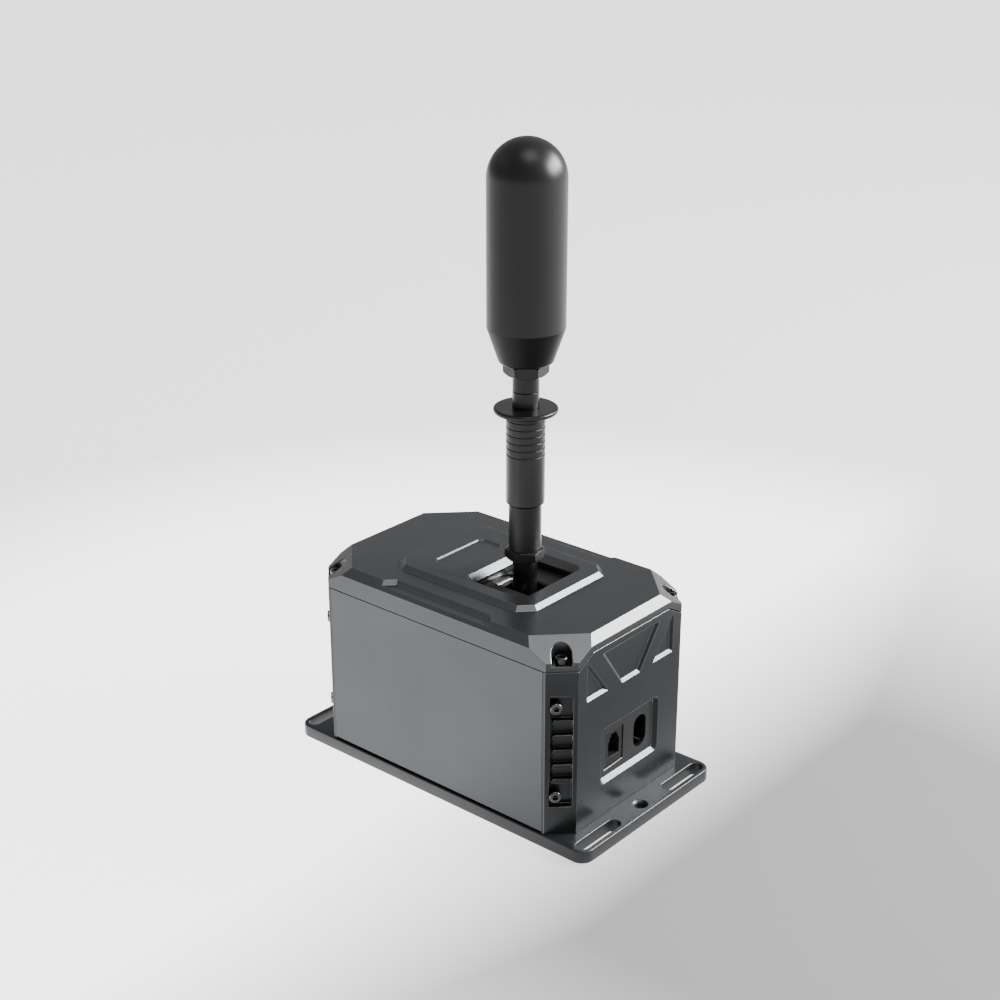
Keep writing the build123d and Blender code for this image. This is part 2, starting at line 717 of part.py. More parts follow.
with BuildPart() as top_cover:
    with BuildSketch(Plane.XY.offset(seam)):
        Polygon(*octagon(body_length, body_width, body_corner_leg), align=None)
    extrude(amount=cover_height)
    edge_y = half_width - long_edge_slope
    tent(Plane.YZ, [(-half_width, seam), (half_width, seam), (half_width, cover_top - long_edge_slope),
                    (edge_y, cover_top), (-edge_y, cover_top), (-half_width, cover_top - long_edge_slope)],
         body_length)
    edge_x = half_length - end_edge_run
    tent(Plane.XZ, [(-half_length, seam), (half_length, seam), (half_length, cover_top - end_edge_drop),
                    (edge_x, cover_top), (-edge_x, cover_top), (-half_length, cover_top - end_edge_drop)],
         body_width)
    for sign_x, sign_y in corner_signs:
        across = corner_plane(sign_x, sign_y, cover_top)
        side_cut = Plane(origin=across.origin, x_dir=across.z_dir, z_dir=across.x_dir)
        up = 1 if side_cut.y_dir.Z > 0 else -1
        with BuildSketch(side_cut):
            with BuildLine():
                Polyline((-facet_run, 0), (0, -up * facet_drop), (cut_overrun, -up * facet_drop),
                         (cut_overrun, up * cut_overrun), (-facet_run, up * cut_overrun), close=True)
            make_face()
        extrude(amount=body_width / 2, both=True, mode=Mode.SUBTRACT)
    with BuildSketch(Plane.XY.offset(cover_top)):
        Polygon(*octagon(plateau_length, plateau_width, plateau_corner_leg), align=None)
    extrude(amount=plateau_height, taper=slope_angle)
    cavity_corner = sqrt(2) * (corner_face - cover_corner_land)
    cavity_x = half_length - cover_end_wall
    cavity_y = half_width - cover_wall
    cavity_leg = cavity_x + cavity_y - cavity_corner
    with BuildSketch(Plane.XY.offset(seam)):
        Polygon(*octagon(2 * cavity_x, 2 * cavity_y, cavity_leg), align=None)
    extrude(amount=ceiling - seam, mode=Mode.SUBTRACT)
    crown_slope = crown_slope_run / crown_height
    notch_top = wall_top + crown_height + crown_gap
    for sign_x in (1, -1):
        with BuildSketch(Plane.YZ.offset(sign_x * (half_length - end_wall - cut_overrun))):
            with BuildLine():
                notch_foot = crown_foot_width / 2 + crown_gap * (1 + crown_slope)
                notch_head = crown_top_width / 2 + crown_gap
                Polyline((-notch_foot, wall_top), (notch_foot, wall_top), (notch_head, notch_top),
                         (-notch_head, notch_top), close=True)
            make_face()
        extrude(amount=sign_x * (end_wall + 2 * cut_overrun), mode=Mode.SUBTRACT)
    for sign_x, sign_y in corner_signs:
        pocket = corner_plane(sign_x, sign_y, 0, pocket_inset)
        with BuildSketch(Plane(origin=(pocket.origin.X, pocket.origin.Y, seam + pocket_floor),
                               x_dir=(sign_x, sign_y, 0))):
            Circle(pocket_radius)
            Rectangle(pocket_inset + cut_overrun, 2 * pocket_radius, align=(Align.MIN, Align.CENTER))
        extrude(amount=cover_height, mode=Mode.SUBTRACT)
        with Locations((pocket.origin.X, pocket.origin.Y, seam + pocket_floor)):
            Hole(cap_screw_radius + screw_fit, depth=pocket_floor + cut_overrun)
    for side in (1, -1):
        scoop_mouth = half_width + scoop_depth + cut_overrun
        scoop_front = scoop_length / 2 + scoop_mouth - scoop_back
        with BuildSketch(Plane.XY.offset(cover_top)):
            with BuildLine():
                Polyline((-scoop_length / 2, side * scoop_back), (scoop_length / 2, side * scoop_back),
                         (scoop_front, side * scoop_mouth), (-scoop_front, side * scoop_mouth), close=True)
            make_face()
        extrude(amount=-scoop_depth, taper=slope_angle, mode=Mode.SUBTRACT)
    with BuildSketch(Plane.XY.offset(plateau_top)):
        with Locations((blank_centre, 0)):
            Polygon(*octagon(blank_length, blank_width, blank_corner_leg), align=None)
    extrude(amount=-blank_depth, taper=slope_angle, mode=Mode.SUBTRACT)
    opening_x = lever_x + opening_shift
    with BuildSketch(Plane.XY.offset(plateau_top)):
        with Locations((opening_x, 0)):
            RectangleRounded(opening_length, opening_width, opening_corner)
    extrude(amount=-opening_bevel, taper=slope_angle, mode=Mode.SUBTRACT)
    with BuildSketch(Plane.XY.offset(ceiling - cut_overrun)):
        with Locations((opening_x, 0)):
            RectangleRounded(opening_length - 2 * opening_bevel, opening_width - 2 * opening_bevel,
                             opening_corner - opening_bevel)
    extrude(amount=plateau_top - ceiling + cut_overrun, mode=Mode.SUBTRACT)
    frame_screw_x = frame_half_length - frame_screw_inset
    frame_screw_y = frame_half_width - frame_screw_end_inset
    with Locations(Location((lever_x, 0, ceiling), (180, 0, 0))):
        with GridLocations(2 * frame_screw_x, 2 * frame_screw_y, 2, 2):
            Hole(small_screw_radius + screw_fit, depth=ceiling_thickness / 2)
finish(top_cover.part, "top_cover")

with BuildPart() as top_cover_screws:
    with Locations(*[(x, y, seam + pocket_floor) for x, y in corner_spots(pocket_inset)]):
        add(cap_screw(top_screw_length))
finish(top_cover_screws.part, "top_cover_screws")

# Shield that slides across with the lever, in a frame screwed to the underside of the cover
shield_top = ceiling - shield_gap
shield_foot = shield_top - shield_thickness
frame_top = shield_foot - shield_gap
frame_foot = frame_top - frame_thickness
with BuildPart() as dust_shield:
    with BuildSketch(Plane.XY.offset(shield_foot)):
        with Locations((lever_x, 0)):
            Rectangle(2 * shield_half_length, 2 * shield_half_width)
    extrude(amount=shield_thickness)
    with BuildSketch(Plane.XY.offset(shield_foot)) as shield_slot:
        slot_round_x = lever_x - shield_slot_back
        slot_front_x = lever_x + shield_slot_front
        with Locations((slot_round_x, 0)):
            Circle(shield_slot_half_width)
            Rectangle(slot_front_x - slot_round_x, 2 * shield_slot_half_width,
                      align=(Align.MIN, Align.CENTER))
    extrude(amount=shield_thickness, mode=Mode.SUBTRACT)
    rim_edges = dust_shield.edges().filter_by_position(Axis.Z, shield_top, shield_top)
    slot_reach = max(shield_slot_front, shield_slot_back + shield_slot_half_width)
    slot_rim = rim_edges.filter_by(lambda edge: abs(edge.center().X - lever_x) <= slot_reach
                                   and abs(edge.center().Y) <= shield_slot_half_width)
    chamfer(slot_rim, shield_slot_break)
finish(dust_shield.part, "dust_shield")

with BuildPart() as guide_frame:
    with BuildSketch(Plane.XY.offset(frame_foot)):
        with Locations((lever_x, 0)):
            Rectangle(2 * frame_half_length, 2 * frame_half_width)
            Rectangle(2 * frame_window_half_length, 2 * frame_window_half_width, mode=Mode.SUBTRACT)
    extrude(amount=frame_thickness)
    rail_inner = shield_half_length + frame_rail_gap
    rail_width = frame_half_length - rail_inner
    with BuildSketch(Plane.XY.offset(frame_top)):
        with Locations((lever_x, 0)):
            with GridLocations(rail_inner + frame_half_length, 0, 2, 1):
                Rectangle(rail_width, 2 * frame_half_width)
    extrude(amount=ceiling - frame_top)
    with Locations(Location((lever_x, 0, frame_foot), (180, 0, 0))):
        with GridLocations(2 * frame_screw_x, 2 * frame_screw_y, 2, 2):
            Hole(small_screw_radius + screw_fit, depth=ceiling - frame_foot)
finish(guide_frame.part, "guide_frame")

with BuildPart() as guide_frame_screws:
    with Locations(Location((lever_x, 0, frame_foot), (180, 0, 0))):
        with GridLocations(2 * frame_screw_x, 2 * frame_screw_y, 2, 2):
            add(cap_screw(ceiling - frame_foot + ceiling_thickness / 2 - screw_fit,
                          small_screw_radius, small_head_radius, small_head_height))
finish(guide_frame_screws.part, "guide_frame_screws")

# Mechanism floor on the base plate, and the gear gate on it
block_inner = cradle_half_length + bush_flange_gap + bush_flange_thickness
block_middle = block_inner + block_thickness / 2
gate_screw_x = gate_half_length - gate_screw_inset
gate_screw_y = gate_half_width - gate_screw_inset
guide_spots = [(lever_x + centring_offset_x, side * centring_offset_y) for side in (1, -1)]
stop_inner = lockout_pin_half_length + reverse_stop_gap + (pivot_height - lockout_pin_height) * tan(
    radians(select_limit))
stop_middle = -(stop_inner + reverse_stop_thickness / 2)
block_bolt_y = block_half_width - floor_screw_inset

with BuildPart() as mechanism_floor:
    with BuildSketch(Plane.XY.offset(base_top)):
        with Locations((lever_x, 0)):
            Rectangle(2 * floor_half_length, 2 * floor_half_width)
            Rectangle(2 * floor_window_half_length, 2 * floor_window_half_width, mode=Mode.SUBTRACT)
    extrude(amount=floor_thickness)
    with BuildSketch(Plane.XY.offset(base_top)):
        with Locations(*floor_screw_spots):
            Circle(sink_screw_radius + screw_fit)
        with Locations((lever_x, 0)):
            with GridLocations(2 * gate_screw_x, 2 * gate_screw_y, 2, 2):
                Circle(small_screw_radius + screw_fit)
            with GridLocations(2 * block_middle, 2 * block_bolt_y, 2, 2):
                Circle(cap_screw_radius + screw_fit)
        with Locations(*guide_spots):
            Circle(centring_guide_radius + press_fit_gap)
    extrude(amount=floor_thickness, mode=Mode.SUBTRACT)
    with BuildSketch(Plane.XY.offset(base_top)):
        with Locations((lever_x, 0)):
            with GridLocations(2 * block_middle, 2 * block_bolt_y, 2, 2):
                Circle(cap_head_radius + screw_fit)
    extrude(amount=floor_thickness / 2, mode=Mode.SUBTRACT)
finish(mechanism_floor.part, "mechanism_floor")

gate_level = floor_top + gate_thickness / 2
gate_arm = pivot - gate_level
gate_half_slot = gate_pin_tip_radius + gate_clearance
gate_column = gate_arm * tan(radians(select_limit))
gate_reach = gate_arm * tan(radians(shift_limit)) / cos(radians(select_limit)) + gate_half_slot
with BuildPart() as shift_gate:
    with BuildSketch(Plane.XY.offset(floor_top)):
        with Locations((lever_x, 0)):
            Rectangle(2 * gate_half_length, 2 * gate_half_width)
            Rectangle(2 * reverse_stop_half_length, stop_inner + reverse_stop_thickness,
                      align=(Align.CENTER, Align.MAX))
            Rectangle(2 * gate_half_slot, 2 * (gate_column + gate_half_slot), mode=Mode.SUBTRACT)
            with GridLocations(0, gate_column, 1, 3):
                SlotOverall(2 * gate_reach, 2 * gate_half_slot, mode=Mode.SUBTRACT)
            with GridLocations(2 * gate_screw_x, 2 * gate_screw_y, 2, 2):
                Circle(small_screw_radius + screw_fit, mode=Mode.SUBTRACT)
    extrude(amount=gate_thickness)
    stop_top = base_top + lockout_pin_height + collar_travel - cross_pin_radius - reverse_stop_gap
    with BuildSketch(Plane.XY.offset(gate_top)):
        with Locations((lever_x, stop_middle)):
            Rectangle(2 * reverse_stop_half_length, reverse_stop_thickness)
    extrude(amount=stop_top - gate_top)
    chamfer(shift_gate.edges().filter_by(Axis.X).group_by(Axis.Z)[-1], reverse_stop_gap)
finish(shift_gate.part, "shift_gate")

with BuildPart() as gate_screws:
    with Locations(Plane.XY.offset(gate_top)):
        with Locations((lever_x, 0)):
            with GridLocations(2 * gate_screw_x, 2 * gate_screw_y, 2, 2):
                add(cap_screw(gate_thickness + small_screw_reach - screw_fit,
                              small_screw_radius, small_head_radius, small_head_height))
finish(gate_screws.part, "gate_screws")

# Bearing blocks, bushes and pins of the select axis
select_bore = select_pin_radius + pin_fit
select_bush_radius = select_bore + bush_wall
for end_name, end in (("front", 1), ("rear", -1)):
    inner = lever_x + end * block_inner
    outer = inner + end * block_thickness
    with BuildPart() as bearing_block:
        with BuildSketch(Plane.YZ.offset(inner)):
            with Locations((0, floor_top)):
                Rectangle(2 * block_half_width, pivot - floor_top, align=(Align.CENTER, Align.MIN))
            with Locations((0, pivot)):
                Circle(block_head_radius)
        extrude(amount=end * block_thickness)
        with BuildSketch(Plane.YZ.offset(inner)):
            with Locations((0, pivot)):
                Circle(select_bush_radius + press_fit_gap)
        extrude(amount=end * block_thickness, mode=Mode.SUBTRACT)
        with Locations(Location((lever_x + end * block_middle, 0, floor_top), (180, 0, 0))):
            with GridLocations(0, 2 * block_bolt_y, 1, 2):
                Hole(cap_screw_radius + screw_fit, depth=top_screw_length)
        if end < 0:
            with BuildSketch(Plane.YZ.offset(outer)):
                with Locations((0, pivot)):
                    with GridLocations(0, 2 * sensor_boss_spread, 1, 2):
                        Circle(sensor_boss_radius)
            extrude(amount=-(select_pin_overhang + magnet_thickness + sensor_gap + sensor_chip_height))
            with BuildSketch(Plane.YZ.offset(outer + block_thickness / 2)):
                with Locations((0, pivot)):
                    with GridLocations(0, 2 * sensor_boss_spread, 1, 2):
                        Circle(small_screw_radius + screw_fit)
            extrude(amount=-block_thickness - select_pin_overhang, mode=Mode.SUBTRACT)
    finish(bearing_block.part, end_name + "_bearing_block")
    with BuildPart() as select_bush:
        with BuildSketch(Plane.YZ.offset(inner)):
            with Locations((0, pivot)):
                Circle(select_bush_radius)
        extrude(amount=end * block_thickness)
        with BuildSketch(Plane.YZ.offset(inner)):
            with Locations((0, pivot)):
                Circle(select_bush_radius + bush_flange_reach)
        extrude(amount=-end * bush_flange_thickness)
        with BuildSketch(Plane.YZ.offset(inner - end * bush_flange_thickness)):
            with Locations((0, pivot)):
                Circle(select_bore)
        extrude(amount=end * (bush_flange_thickness + block_thickness), mode=Mode.SUBTRACT)
    finish(select_bush.part, end_name + "_select_bush")
    with BuildPart() as select_pin:
        pin_start = lever_x + end * (cradle_half_length - cradle_end_wall)
        with BuildSketch(Plane.YZ.offset(pin_start)):
            with Locations((0, pivot)):
                Circle(select_pin_radius)
        extrude(amount=outer + end * select_pin_overhang - pin_start)
    finish(select_pin.part, end_name + "_select_pin")

with BuildPart() as block_screws:
    with Locations(Location((lever_x, 0, base_top + floor_thickness / 2), (180, 0, 0))):
        with GridLocations(2 * block_middle, 2 * block_bolt_y, 2, 2):
            add(cap_screw(floor_thickness / 2 + top_screw_length - screw_fit, cap_screw_radius,
                          cap_head_radius, floor_thickness / 2 - screw_fit))
finish(block_screws.part, "block_screws")

# Cradle that carries the lever and tips sideways, and the bushes and pins of the shift axis
shift_bore = shift_pin_radius + pin_fit
shift_bush_radius = shift_bore + bush_wall
cradle_inner_y = cradle_half_width - cradle_side_wall
shift_pin_end = cradle_half_width + shift_pin_overhang
sensor_reach = shift_pin_overhang + magnet_thickness + sensor_gap + sensor_chip_height
with BuildPart() as select_cradle:
    with BuildSketch(Plane.XY.offset(pivot - cradle_half_height)):
        with Locations((lever_x, 0)):
            RectangleRounded(2 * cradle_half_length, 2 * cradle_half_width, cradle_corner)
            RectangleRounded(2 * (cradle_half_length - cradle_end_wall), 2 * cradle_inner_y, cradle_corner,
                             mode=Mode.SUBTRACT)
    extrude(amount=2 * cradle_half_height)
    with BuildSketch(Plane.YZ.offset(lever_x)):
        with Locations((0, pivot)):
            Circle(select_pin_radius + press_fit_gap)
    extrude(amount=cradle_half_length + cut_overrun, both=True, mode=Mode.SUBTRACT)
    with BuildSketch(Plane.XZ):
        with Locations((lever_x, pivot)):
            Circle(shift_bush_radius + press_fit_gap)
    extrude(amount=cradle_half_width + cut_overrun, both=True, mode=Mode.SUBTRACT)
    with BuildSketch(Plane.XZ.offset(cradle_half_width)):
        with Locations((lever_x, pivot)):
            with GridLocations(2 * sensor_boss_spread, 0, 2, 1):
                Circle(sensor_boss_radius)
    extrude(amount=sensor_reach)
    with BuildSketch(Plane.XZ.offset(cradle_half_width - cradle_side_wall / 2)):
        with Locations((lever_x, pivot)):
            with GridLocations(2 * sensor_boss_spread, 0, 2, 1):
                Circle(small_screw_radius + screw_fit)
    extrude(amount=sensor_reach + cradle_side_wall, mode=Mode.SUBTRACT)
    with BuildSketch(Plane.XZ.offset(-cradle_half_width)):
        with Locations((lever_x, pivot - bracket_screw_drop)):
            with GridLocations(2 * bracket_screw_spread, 0, 2, 1):
                Circle(small_screw_radius + screw_fit)
    extrude(amount=cradle_side_wall, mode=Mode.SUBTRACT)
finish(select_cradle.part, "select_cradle")

for side_name, side in (("left", 1), ("right", -1)):
    with BuildPart() as shift_bush:
        with BuildSketch(Plane.XZ.offset(-side * cradle_inner_y)):
            with Locations((lever_x, pivot)):
                Circle(shift_bush_radius)
        extrude(amount=-side * cradle_side_wall)
        with BuildSketch(Plane.XZ.offset(-side * cradle_inner_y)):
            with Locations((lever_x, pivot)):
                Circle(shift_bush_radius + bush_flange_reach)
        extrude(amount=side * bush_flange_thickness)
        with BuildSketch(Plane.XZ.offset(-side * (cradle_inner_y - bush_flange_thickness))):
            with Locations((lever_x, pivot)):
                Circle(shift_bore)
        extrude(amount=-side * (cradle_side_wall + bush_flange_thickness), mode=Mode.SUBTRACT)
    finish(shift_bush.part, side_name + "_shift_bush")

# Hub that holds the lever, with a pin to each side
with BuildPart() as lever_hub:
    with BuildSketch(Plane.XY.offset(pivot - hub_half_height)):
        with Locations((lever_x, 0)):
            RectangleRounded(2 * hub_half_length, 2 * hub_half_width, hub_corner)
            Circle(rod_radius + press_fit_gap, mode=Mode.SUBTRACT)
    extrude(amount=2 * hub_half_height)
    with BuildSketch(Plane.XZ):
        with Locations((lever_x, pivot)):
            Circle(shift_pin_radius + press_fit_gap)
    extrude(amount=hub_half_width + cut_overrun, both=True, mode=Mode.SUBTRACT)
    with BuildSketch(Plane.YZ.offset(lever_x)):
        with Locations((0, pivot + set_screw_rise)):
            Circle(set_screw_radius + screw_fit)
    extrude(amount=hub_half_length + cut_overrun, both=True, mode=Mode.SUBTRACT)
finish(lever_hub.part, "lever_hub")

with BuildPart() as hub_set_screws:
    for side in (1, -1):
        with BuildSketch(Plane.YZ.offset(lever_x + side * (rod_radius + press_fit_gap))):
            with Locations((0, pivot + set_screw_rise)):
                Circle(set_screw_radius)
                RegularPolygon(set_screw_radius / 2, 6, mode=Mode.SUBTRACT)
        extrude(amount=side * set_screw_length)
finish(hub_set_screws.part, "hub_set_screws")

sector_inner = cradle_half_width + bracket_plate + sector_gap
sector_middle = sector_inner + sector_thickness / 2
for side_name, side, pin_end in (("left", 1, sector_inner + sector_thickness), ("right", -1, shift_pin_end)):
    pin_start = hub_half_width - shift_pin_grip
    with BuildPart() as shift_pin:
        with BuildSketch(Plane.XZ.offset(-side * pin_start)):
            with Locations((lever_x, pivot)):
                Circle(shift_pin_radius)
        extrude(amount=-side * (pin_end - pin_start))
    finish(shift_pin.part, side_name + "_shift_pin")

# Detent: a notched sector on the shift pin, and a sprung plunger below it on the cradle
rim_level = pivot - sector_rim_radius
plunger_top = rim_level - plunger_gap
plunger_foot = plunger_top - plunger_tip_length - plunger_length
spring_foot = plunger_foot - plunger_spring_length
bracket_foot = spring_foot - bracket_floor
bracket_block_top = plunger_foot + plunger_length
with BuildPart() as detent_sector:
    half_angle = radians(sector_half_angle)
    rim_x = sector_rim_radius * sin(half_angle)
    rim_z = sector_rim_radius * cos(half_angle)
    with BuildSketch(upright(lever_x, sector_inner, pivot)):
        with BuildLine():
            Line((0, 0), (rim_x, -rim_z))
            ThreePointArc((rim_x, -rim_z), (0, -sector_rim_radius), (-rim_x, -rim_z))
            Line((-rim_x, -rim_z), (0, 0))
        make_face()
        Circle(sector_hub_radius)
        Circle(shift_pin_radius + press_fit_gap, mode=Mode.SUBTRACT)
        notch_ring = sector_rim_radius + notch_radius - notch_depth
        for step in (-1, 0, 1):
            angle = radians(step * shift_limit)
            with Locations((notch_ring * sin(angle), -notch_ring * cos(angle))):
                Circle(notch_radius, mode=Mode.SUBTRACT)
    extrude(amount=-sector_thickness)
finish(detent_sector.part, "detent_sector")

with BuildPart() as detent_bracket:
    plate_foot = pivot - cradle_half_height
    with BuildSketch(Plane.XZ.offset(-cradle_half_width)):
        with Locations((lever_x, pivot)):
            Rectangle(2 * bracket_half_length, 2 * cradle_half_height)
        with Locations((lever_x, bracket_foot)):
            Rectangle(2 * bracket_arm_half_length, plate_foot - bracket_foot, align=(Align.CENTER, Align.MIN))
        with Locations((lever_x, pivot)):
            Circle(shift_pin_radius + bush_wall, mode=Mode.SUBTRACT)
        with Locations((lever_x, pivot - bracket_screw_drop)):
            with GridLocations(2 * bracket_screw_spread, 0, 2, 1):
                Circle(small_screw_radius + screw_fit, mode=Mode.SUBTRACT)
    extrude(amount=-bracket_plate)
    with BuildSketch(Plane.XY.offset(bracket_foot)):
        with Locations((lever_x, cradle_half_width)):
            Rectangle(2 * bracket_arm_half_length, sector_middle - cradle_half_width + bracket_arm_depth / 2,
                      align=(Align.CENTER, Align.MIN))
    extrude(amount=bracket_block_top - bracket_foot)
    with BuildSketch(Plane.XY.offset(spring_foot)):
        with Locations((lever_x, sector_middle)):
            Circle(plunger_radius + pin_fit)
    extrude(amount=bracket_block_top - spring_foot, mode=Mode.SUBTRACT)
finish(detent_bracket.part, "detent_bracket")

with BuildPart() as detent_plunger:
    with BuildSketch(upright(lever_x, sector_middle, plunger_foot)):
        with BuildLine():
            tip_base = plunger_length + plunger_tip_length - plunger_tip_radius
            Polyline((0, 0), (plunger_radius, 0), (plunger_radius, plunger_length),
                     (plunger_tip_radius, plunger_length), (plunger_tip_radius, tip_base))
            CenterArc((0, tip_base), plunger_tip_radius, 0, 90)
            Line((0, tip_base + plunger_tip_radius), (0, 0))
        make_face()
    revolve(axis=Axis((lever_x, sector_middle, 0), (0, 0, 1)))
finish(detent_plunger.part, "detent_plunger")

detent_coil_radius = plunger_radius - detent_wire_radius - pin_fit
with BuildPart() as detent_spring:
    with Locations((lever_x, sector_middle, spring_foot)):
        add(coil(detent_coil_radius, detent_wire_radius, plunger_spring_length, detent_spring_turns))
finish(detent_spring.part, "detent_spring")

# Centring springs stand on guides in the floor and press the cradle level
centring_foot = floor_top + centring_foot_thickness
centring_top = pivot - cradle_half_height
with BuildPart() as spring_guides:
    with BuildSketch(Plane.XY.offset(base_top)):
        with Locations(*guide_spots):
            Circle(centring_guide_radius)
    extrude(amount=centring_guide_height)
    with BuildSketch(Plane.XY.offset(floor_top)):
        with Locations(*guide_spots):
            Circle(centring_foot_radius)
    extrude(amount=centring_foot_thickness)
finish(spring_guides.part, "spring_guides")

for side_name, spot in zip(("left", "right"), guide_spots):
    with BuildPart() as centring_spring:
        with Locations((*spot, centring_foot)):
            add(coil(centring_coil_radius, centring_wire_radius, centring_top - centring_foot,
                     centring_turns))
    finish(centring_spring.part, side_name + "_centring_spring")

# Lever rod with a bore for the lockout and slots for its two pins
rod_foot = base_top + rod_foot_height
lockout_pin_level = base_top + lockout_pin_height
lockout_top = cross_pin_level + cross_pin_radius + lockout_end_gap
with BuildPart() as lever_rod:
    with BuildSketch(Plane.XY.offset(rod_foot)):
        with Locations((lever_x, 0)):
            Circle(rod_radius)
    extrude(amount=tube_top - rod_foot)
    with BuildSketch(Plane.XY.offset(tube_top)):
        with Locations((lever_x, 0)):
            Circle(rod_upper_radius)
    extrude(amount=rod_top - tube_top)
    with BuildSketch(Plane.XY.offset(base_top + rod_bore_foot_height)):
        with Locations((lever_x, 0)):
            Circle(rod_bore_radius)
    extrude(amount=lockout_top + collar_travel + lockout_end_gap - base_top - rod_bore_foot_height,
            mode=Mode.SUBTRACT)
    with BuildSketch(Plane.XY.offset(rod_foot)):
        with Locations((lever_x, 0)):
            Circle(gate_pin_radius + press_fit_gap)
    extrude(amount=gate_pin_grip, mode=Mode.SUBTRACT)
    slot_radius = cross_pin_radius + pin_fit
    for level in (lockout_pin_level, cross_pin_level):
        with BuildSketch(Plane.XZ):
            with Locations((lever_x, level + collar_travel / 2)):
                SlotCenterToCenter(collar_travel, 2 * slot_radius, rotation=90)
        extrude(amount=rod_upper_radius + cut_overrun, both=True, mode=Mode.SUBTRACT)
    chamfer(lever_rod.faces().sort_by(Axis.Z)[0].edges().sort_by(SortBy.LENGTH)[-1], base_edge_break)
finish(lever_rod.part, "lever_rod")

gate_pin_end = base_top + gate_pin_end_height
with BuildPart() as gate_pin:
    with BuildSketch(Plane.XY.offset(gate_pin_end + gate_pin_tip_length)):
        with Locations((lever_x, 0)):
            Circle(gate_pin_radius)
    extrude(amount=rod_foot + gate_pin_grip - gate_pin_end - gate_pin_tip_length)
    with BuildSketch(Plane.XY.offset(gate_pin_end)):
        with Locations((lever_x, 0)):
            Circle(gate_pin_tip_radius)
    extrude(amount=gate_pin_tip_length)
    fillet(gate_pin.faces().sort_by(Axis.Z)[0].edges(), gate_pin_tip_radius / 2)
finish(gate_pin.part, "gate_pin")


def hexagon_nut(across, foot, height, bore=0):
    """Nut round the lever with broken corners, one flat towards the front right."""
    corner = across / sqrt(3)
    with BuildPart() as nut:
        with BuildSketch(Plane.XY.offset(foot)):
            with Locations((lever_x, 0)):
                RegularPolygon(corner, 6, rotation=hexagon_turn)
        extrude(amount=height)
        with BuildSketch(upright(lever_x, 0, foot)):
            with BuildLine():
                rim = across / 2 - nut_break / 2
                reach = corner + nut_break
                drop = (reach - rim) * tan(radians(nut_break_angle))
                Polyline((0, 0), (rim, 0), (reach, drop), (reach, height - drop), (rim, height),
                         (0, height), close=True)
            make_face()
        revolve(axis=Axis((lever_x, 0, 0), (0, 0, 1)), mode=Mode.INTERSECT)
        if bore:
            with BuildSketch(Plane.XY.offset(foot)):
                with Locations((lever_x, 0)):
                    Circle(bore)
            extrude(amount=height, mode=Mode.SUBTRACT)
    return nut.part


with BuildPart() as jam_nut:
    add(hexagon_nut(jam_nut_across, jam_nut_foot, jam_nut_height, rod_radius + press_fit_gap))
finish(jam_nut.part, "jam_nut")

with BuildPart() as lever_tube:
    with BuildSketch(Plane.XY.offset(tube_foot)):
        with Locations((lever_x, 0)):
            Circle(tube_radius)
            Circle(rod_radius + press_fit_gap, mode=Mode.SUBTRACT)
    extrude(amount=tube_top - tube_foot)
    chamfer(lever_tube.faces().sort_by(Axis.Z)[-1].edges().sort_by(SortBy.LENGTH)[-1], base_edge_break)
finish(lever_tube.part, "lever_tube")

# Collar that slides up the tube against its spring, with a finger flange on top
collar_bore = tube_radius + collar_gap
collar_cap_foot = collar_top - collar_cap
with BuildPart() as lift_collar:
    with BuildSketch(Plane.XY.offset(collar_foot)):
        with Locations((lever_x, 0)):
            Circle(collar_radius)
    extrude(amount=collar_top - collar_foot)
    chamfer(lift_collar.faces().sort_by(Axis.Z)[0].edges(), collar_chamfer)
    with BuildSketch(Plane.XY.offset(collar_top)):
        with Locations((lever_x, 0)):
            Circle(flange_radius)
    extrude(amount=flange_thickness)
    fillet(lift_collar.edges().filter_by(GeomType.CIRCLE).filter_by(
        lambda edge: abs(edge.radius - flange_radius) < collar_gap), flange_round)
    for step in range(collar_groove_count):
        level = collar_top - collar_groove_top_gap - step * collar_groove_pitch
        with BuildSketch(Plane.XY.offset(level)):
            with Locations((lever_x, 0)):
                Circle(collar_radius + cut_overrun)
                Circle(collar_radius - collar_groove_depth, mode=Mode.SUBTRACT)
        extrude(amount=-collar_groove_width, mode=Mode.SUBTRACT)
    with BuildSketch(Plane.XY.offset(collar_foot)):
        with Locations((lever_x, 0)):
            Circle(collar_bore)
    extrude(amount=collar_cap_foot - collar_foot, mode=Mode.SUBTRACT)
    with BuildSketch(Plane.XY.offset(collar_foot)):
        with Locations((lever_x, 0)):
            Rectangle(2 * (cross_pin_radius + pin_fit), 2 * (collar_bore + collar_key_depth))
    extrude(amount=cross_pin_level + cross_pin_radius - collar_foot, mode=Mode.SUBTRACT)
    with BuildSketch(Plane.XY.offset(collar_cap_foot)):
        with Locations((lever_x, 0)):
            Circle(rod_upper_radius + collar_gap)
    extrude(amount=collar_cap + flange_thickness, mode=Mode.SUBTRACT)
finish(lift_collar.part, "lift_collar")

with BuildPart() as lockout_rod:
    lockout_foot = lockout_pin_level - cross_pin_radius - lockout_end_gap
    with BuildSketch(Plane.XY.offset(lockout_foot)):
        with Locations((lever_x, 0)):
            Circle(lockout_rod_radius)
    extrude(amount=lockout_top - lockout_foot)
    for level in (lockout_pin_level, cross_pin_level):
        with BuildSketch(Plane.XZ):
            with Locations((lever_x, level)):
                Circle(cross_pin_radius + press_fit_gap)
        extrude(amount=lockout_rod_radius + cut_overrun, both=True, mode=Mode.SUBTRACT)
finish(lockout_rod.part, "lockout_rod")

with BuildPart() as lockout_pins:
    for level, half_span in ((cross_pin_level, collar_bore + collar_key_depth - pin_fit),
                             (lockout_pin_level, lockout_pin_half_length)):
        with BuildSketch(Plane.XZ):
            with Locations((lever_x, level)):
                Circle(cross_pin_radius)
        extrude(amount=half_span, both=True)
finish(lockout_pins.part, "lockout_pins")

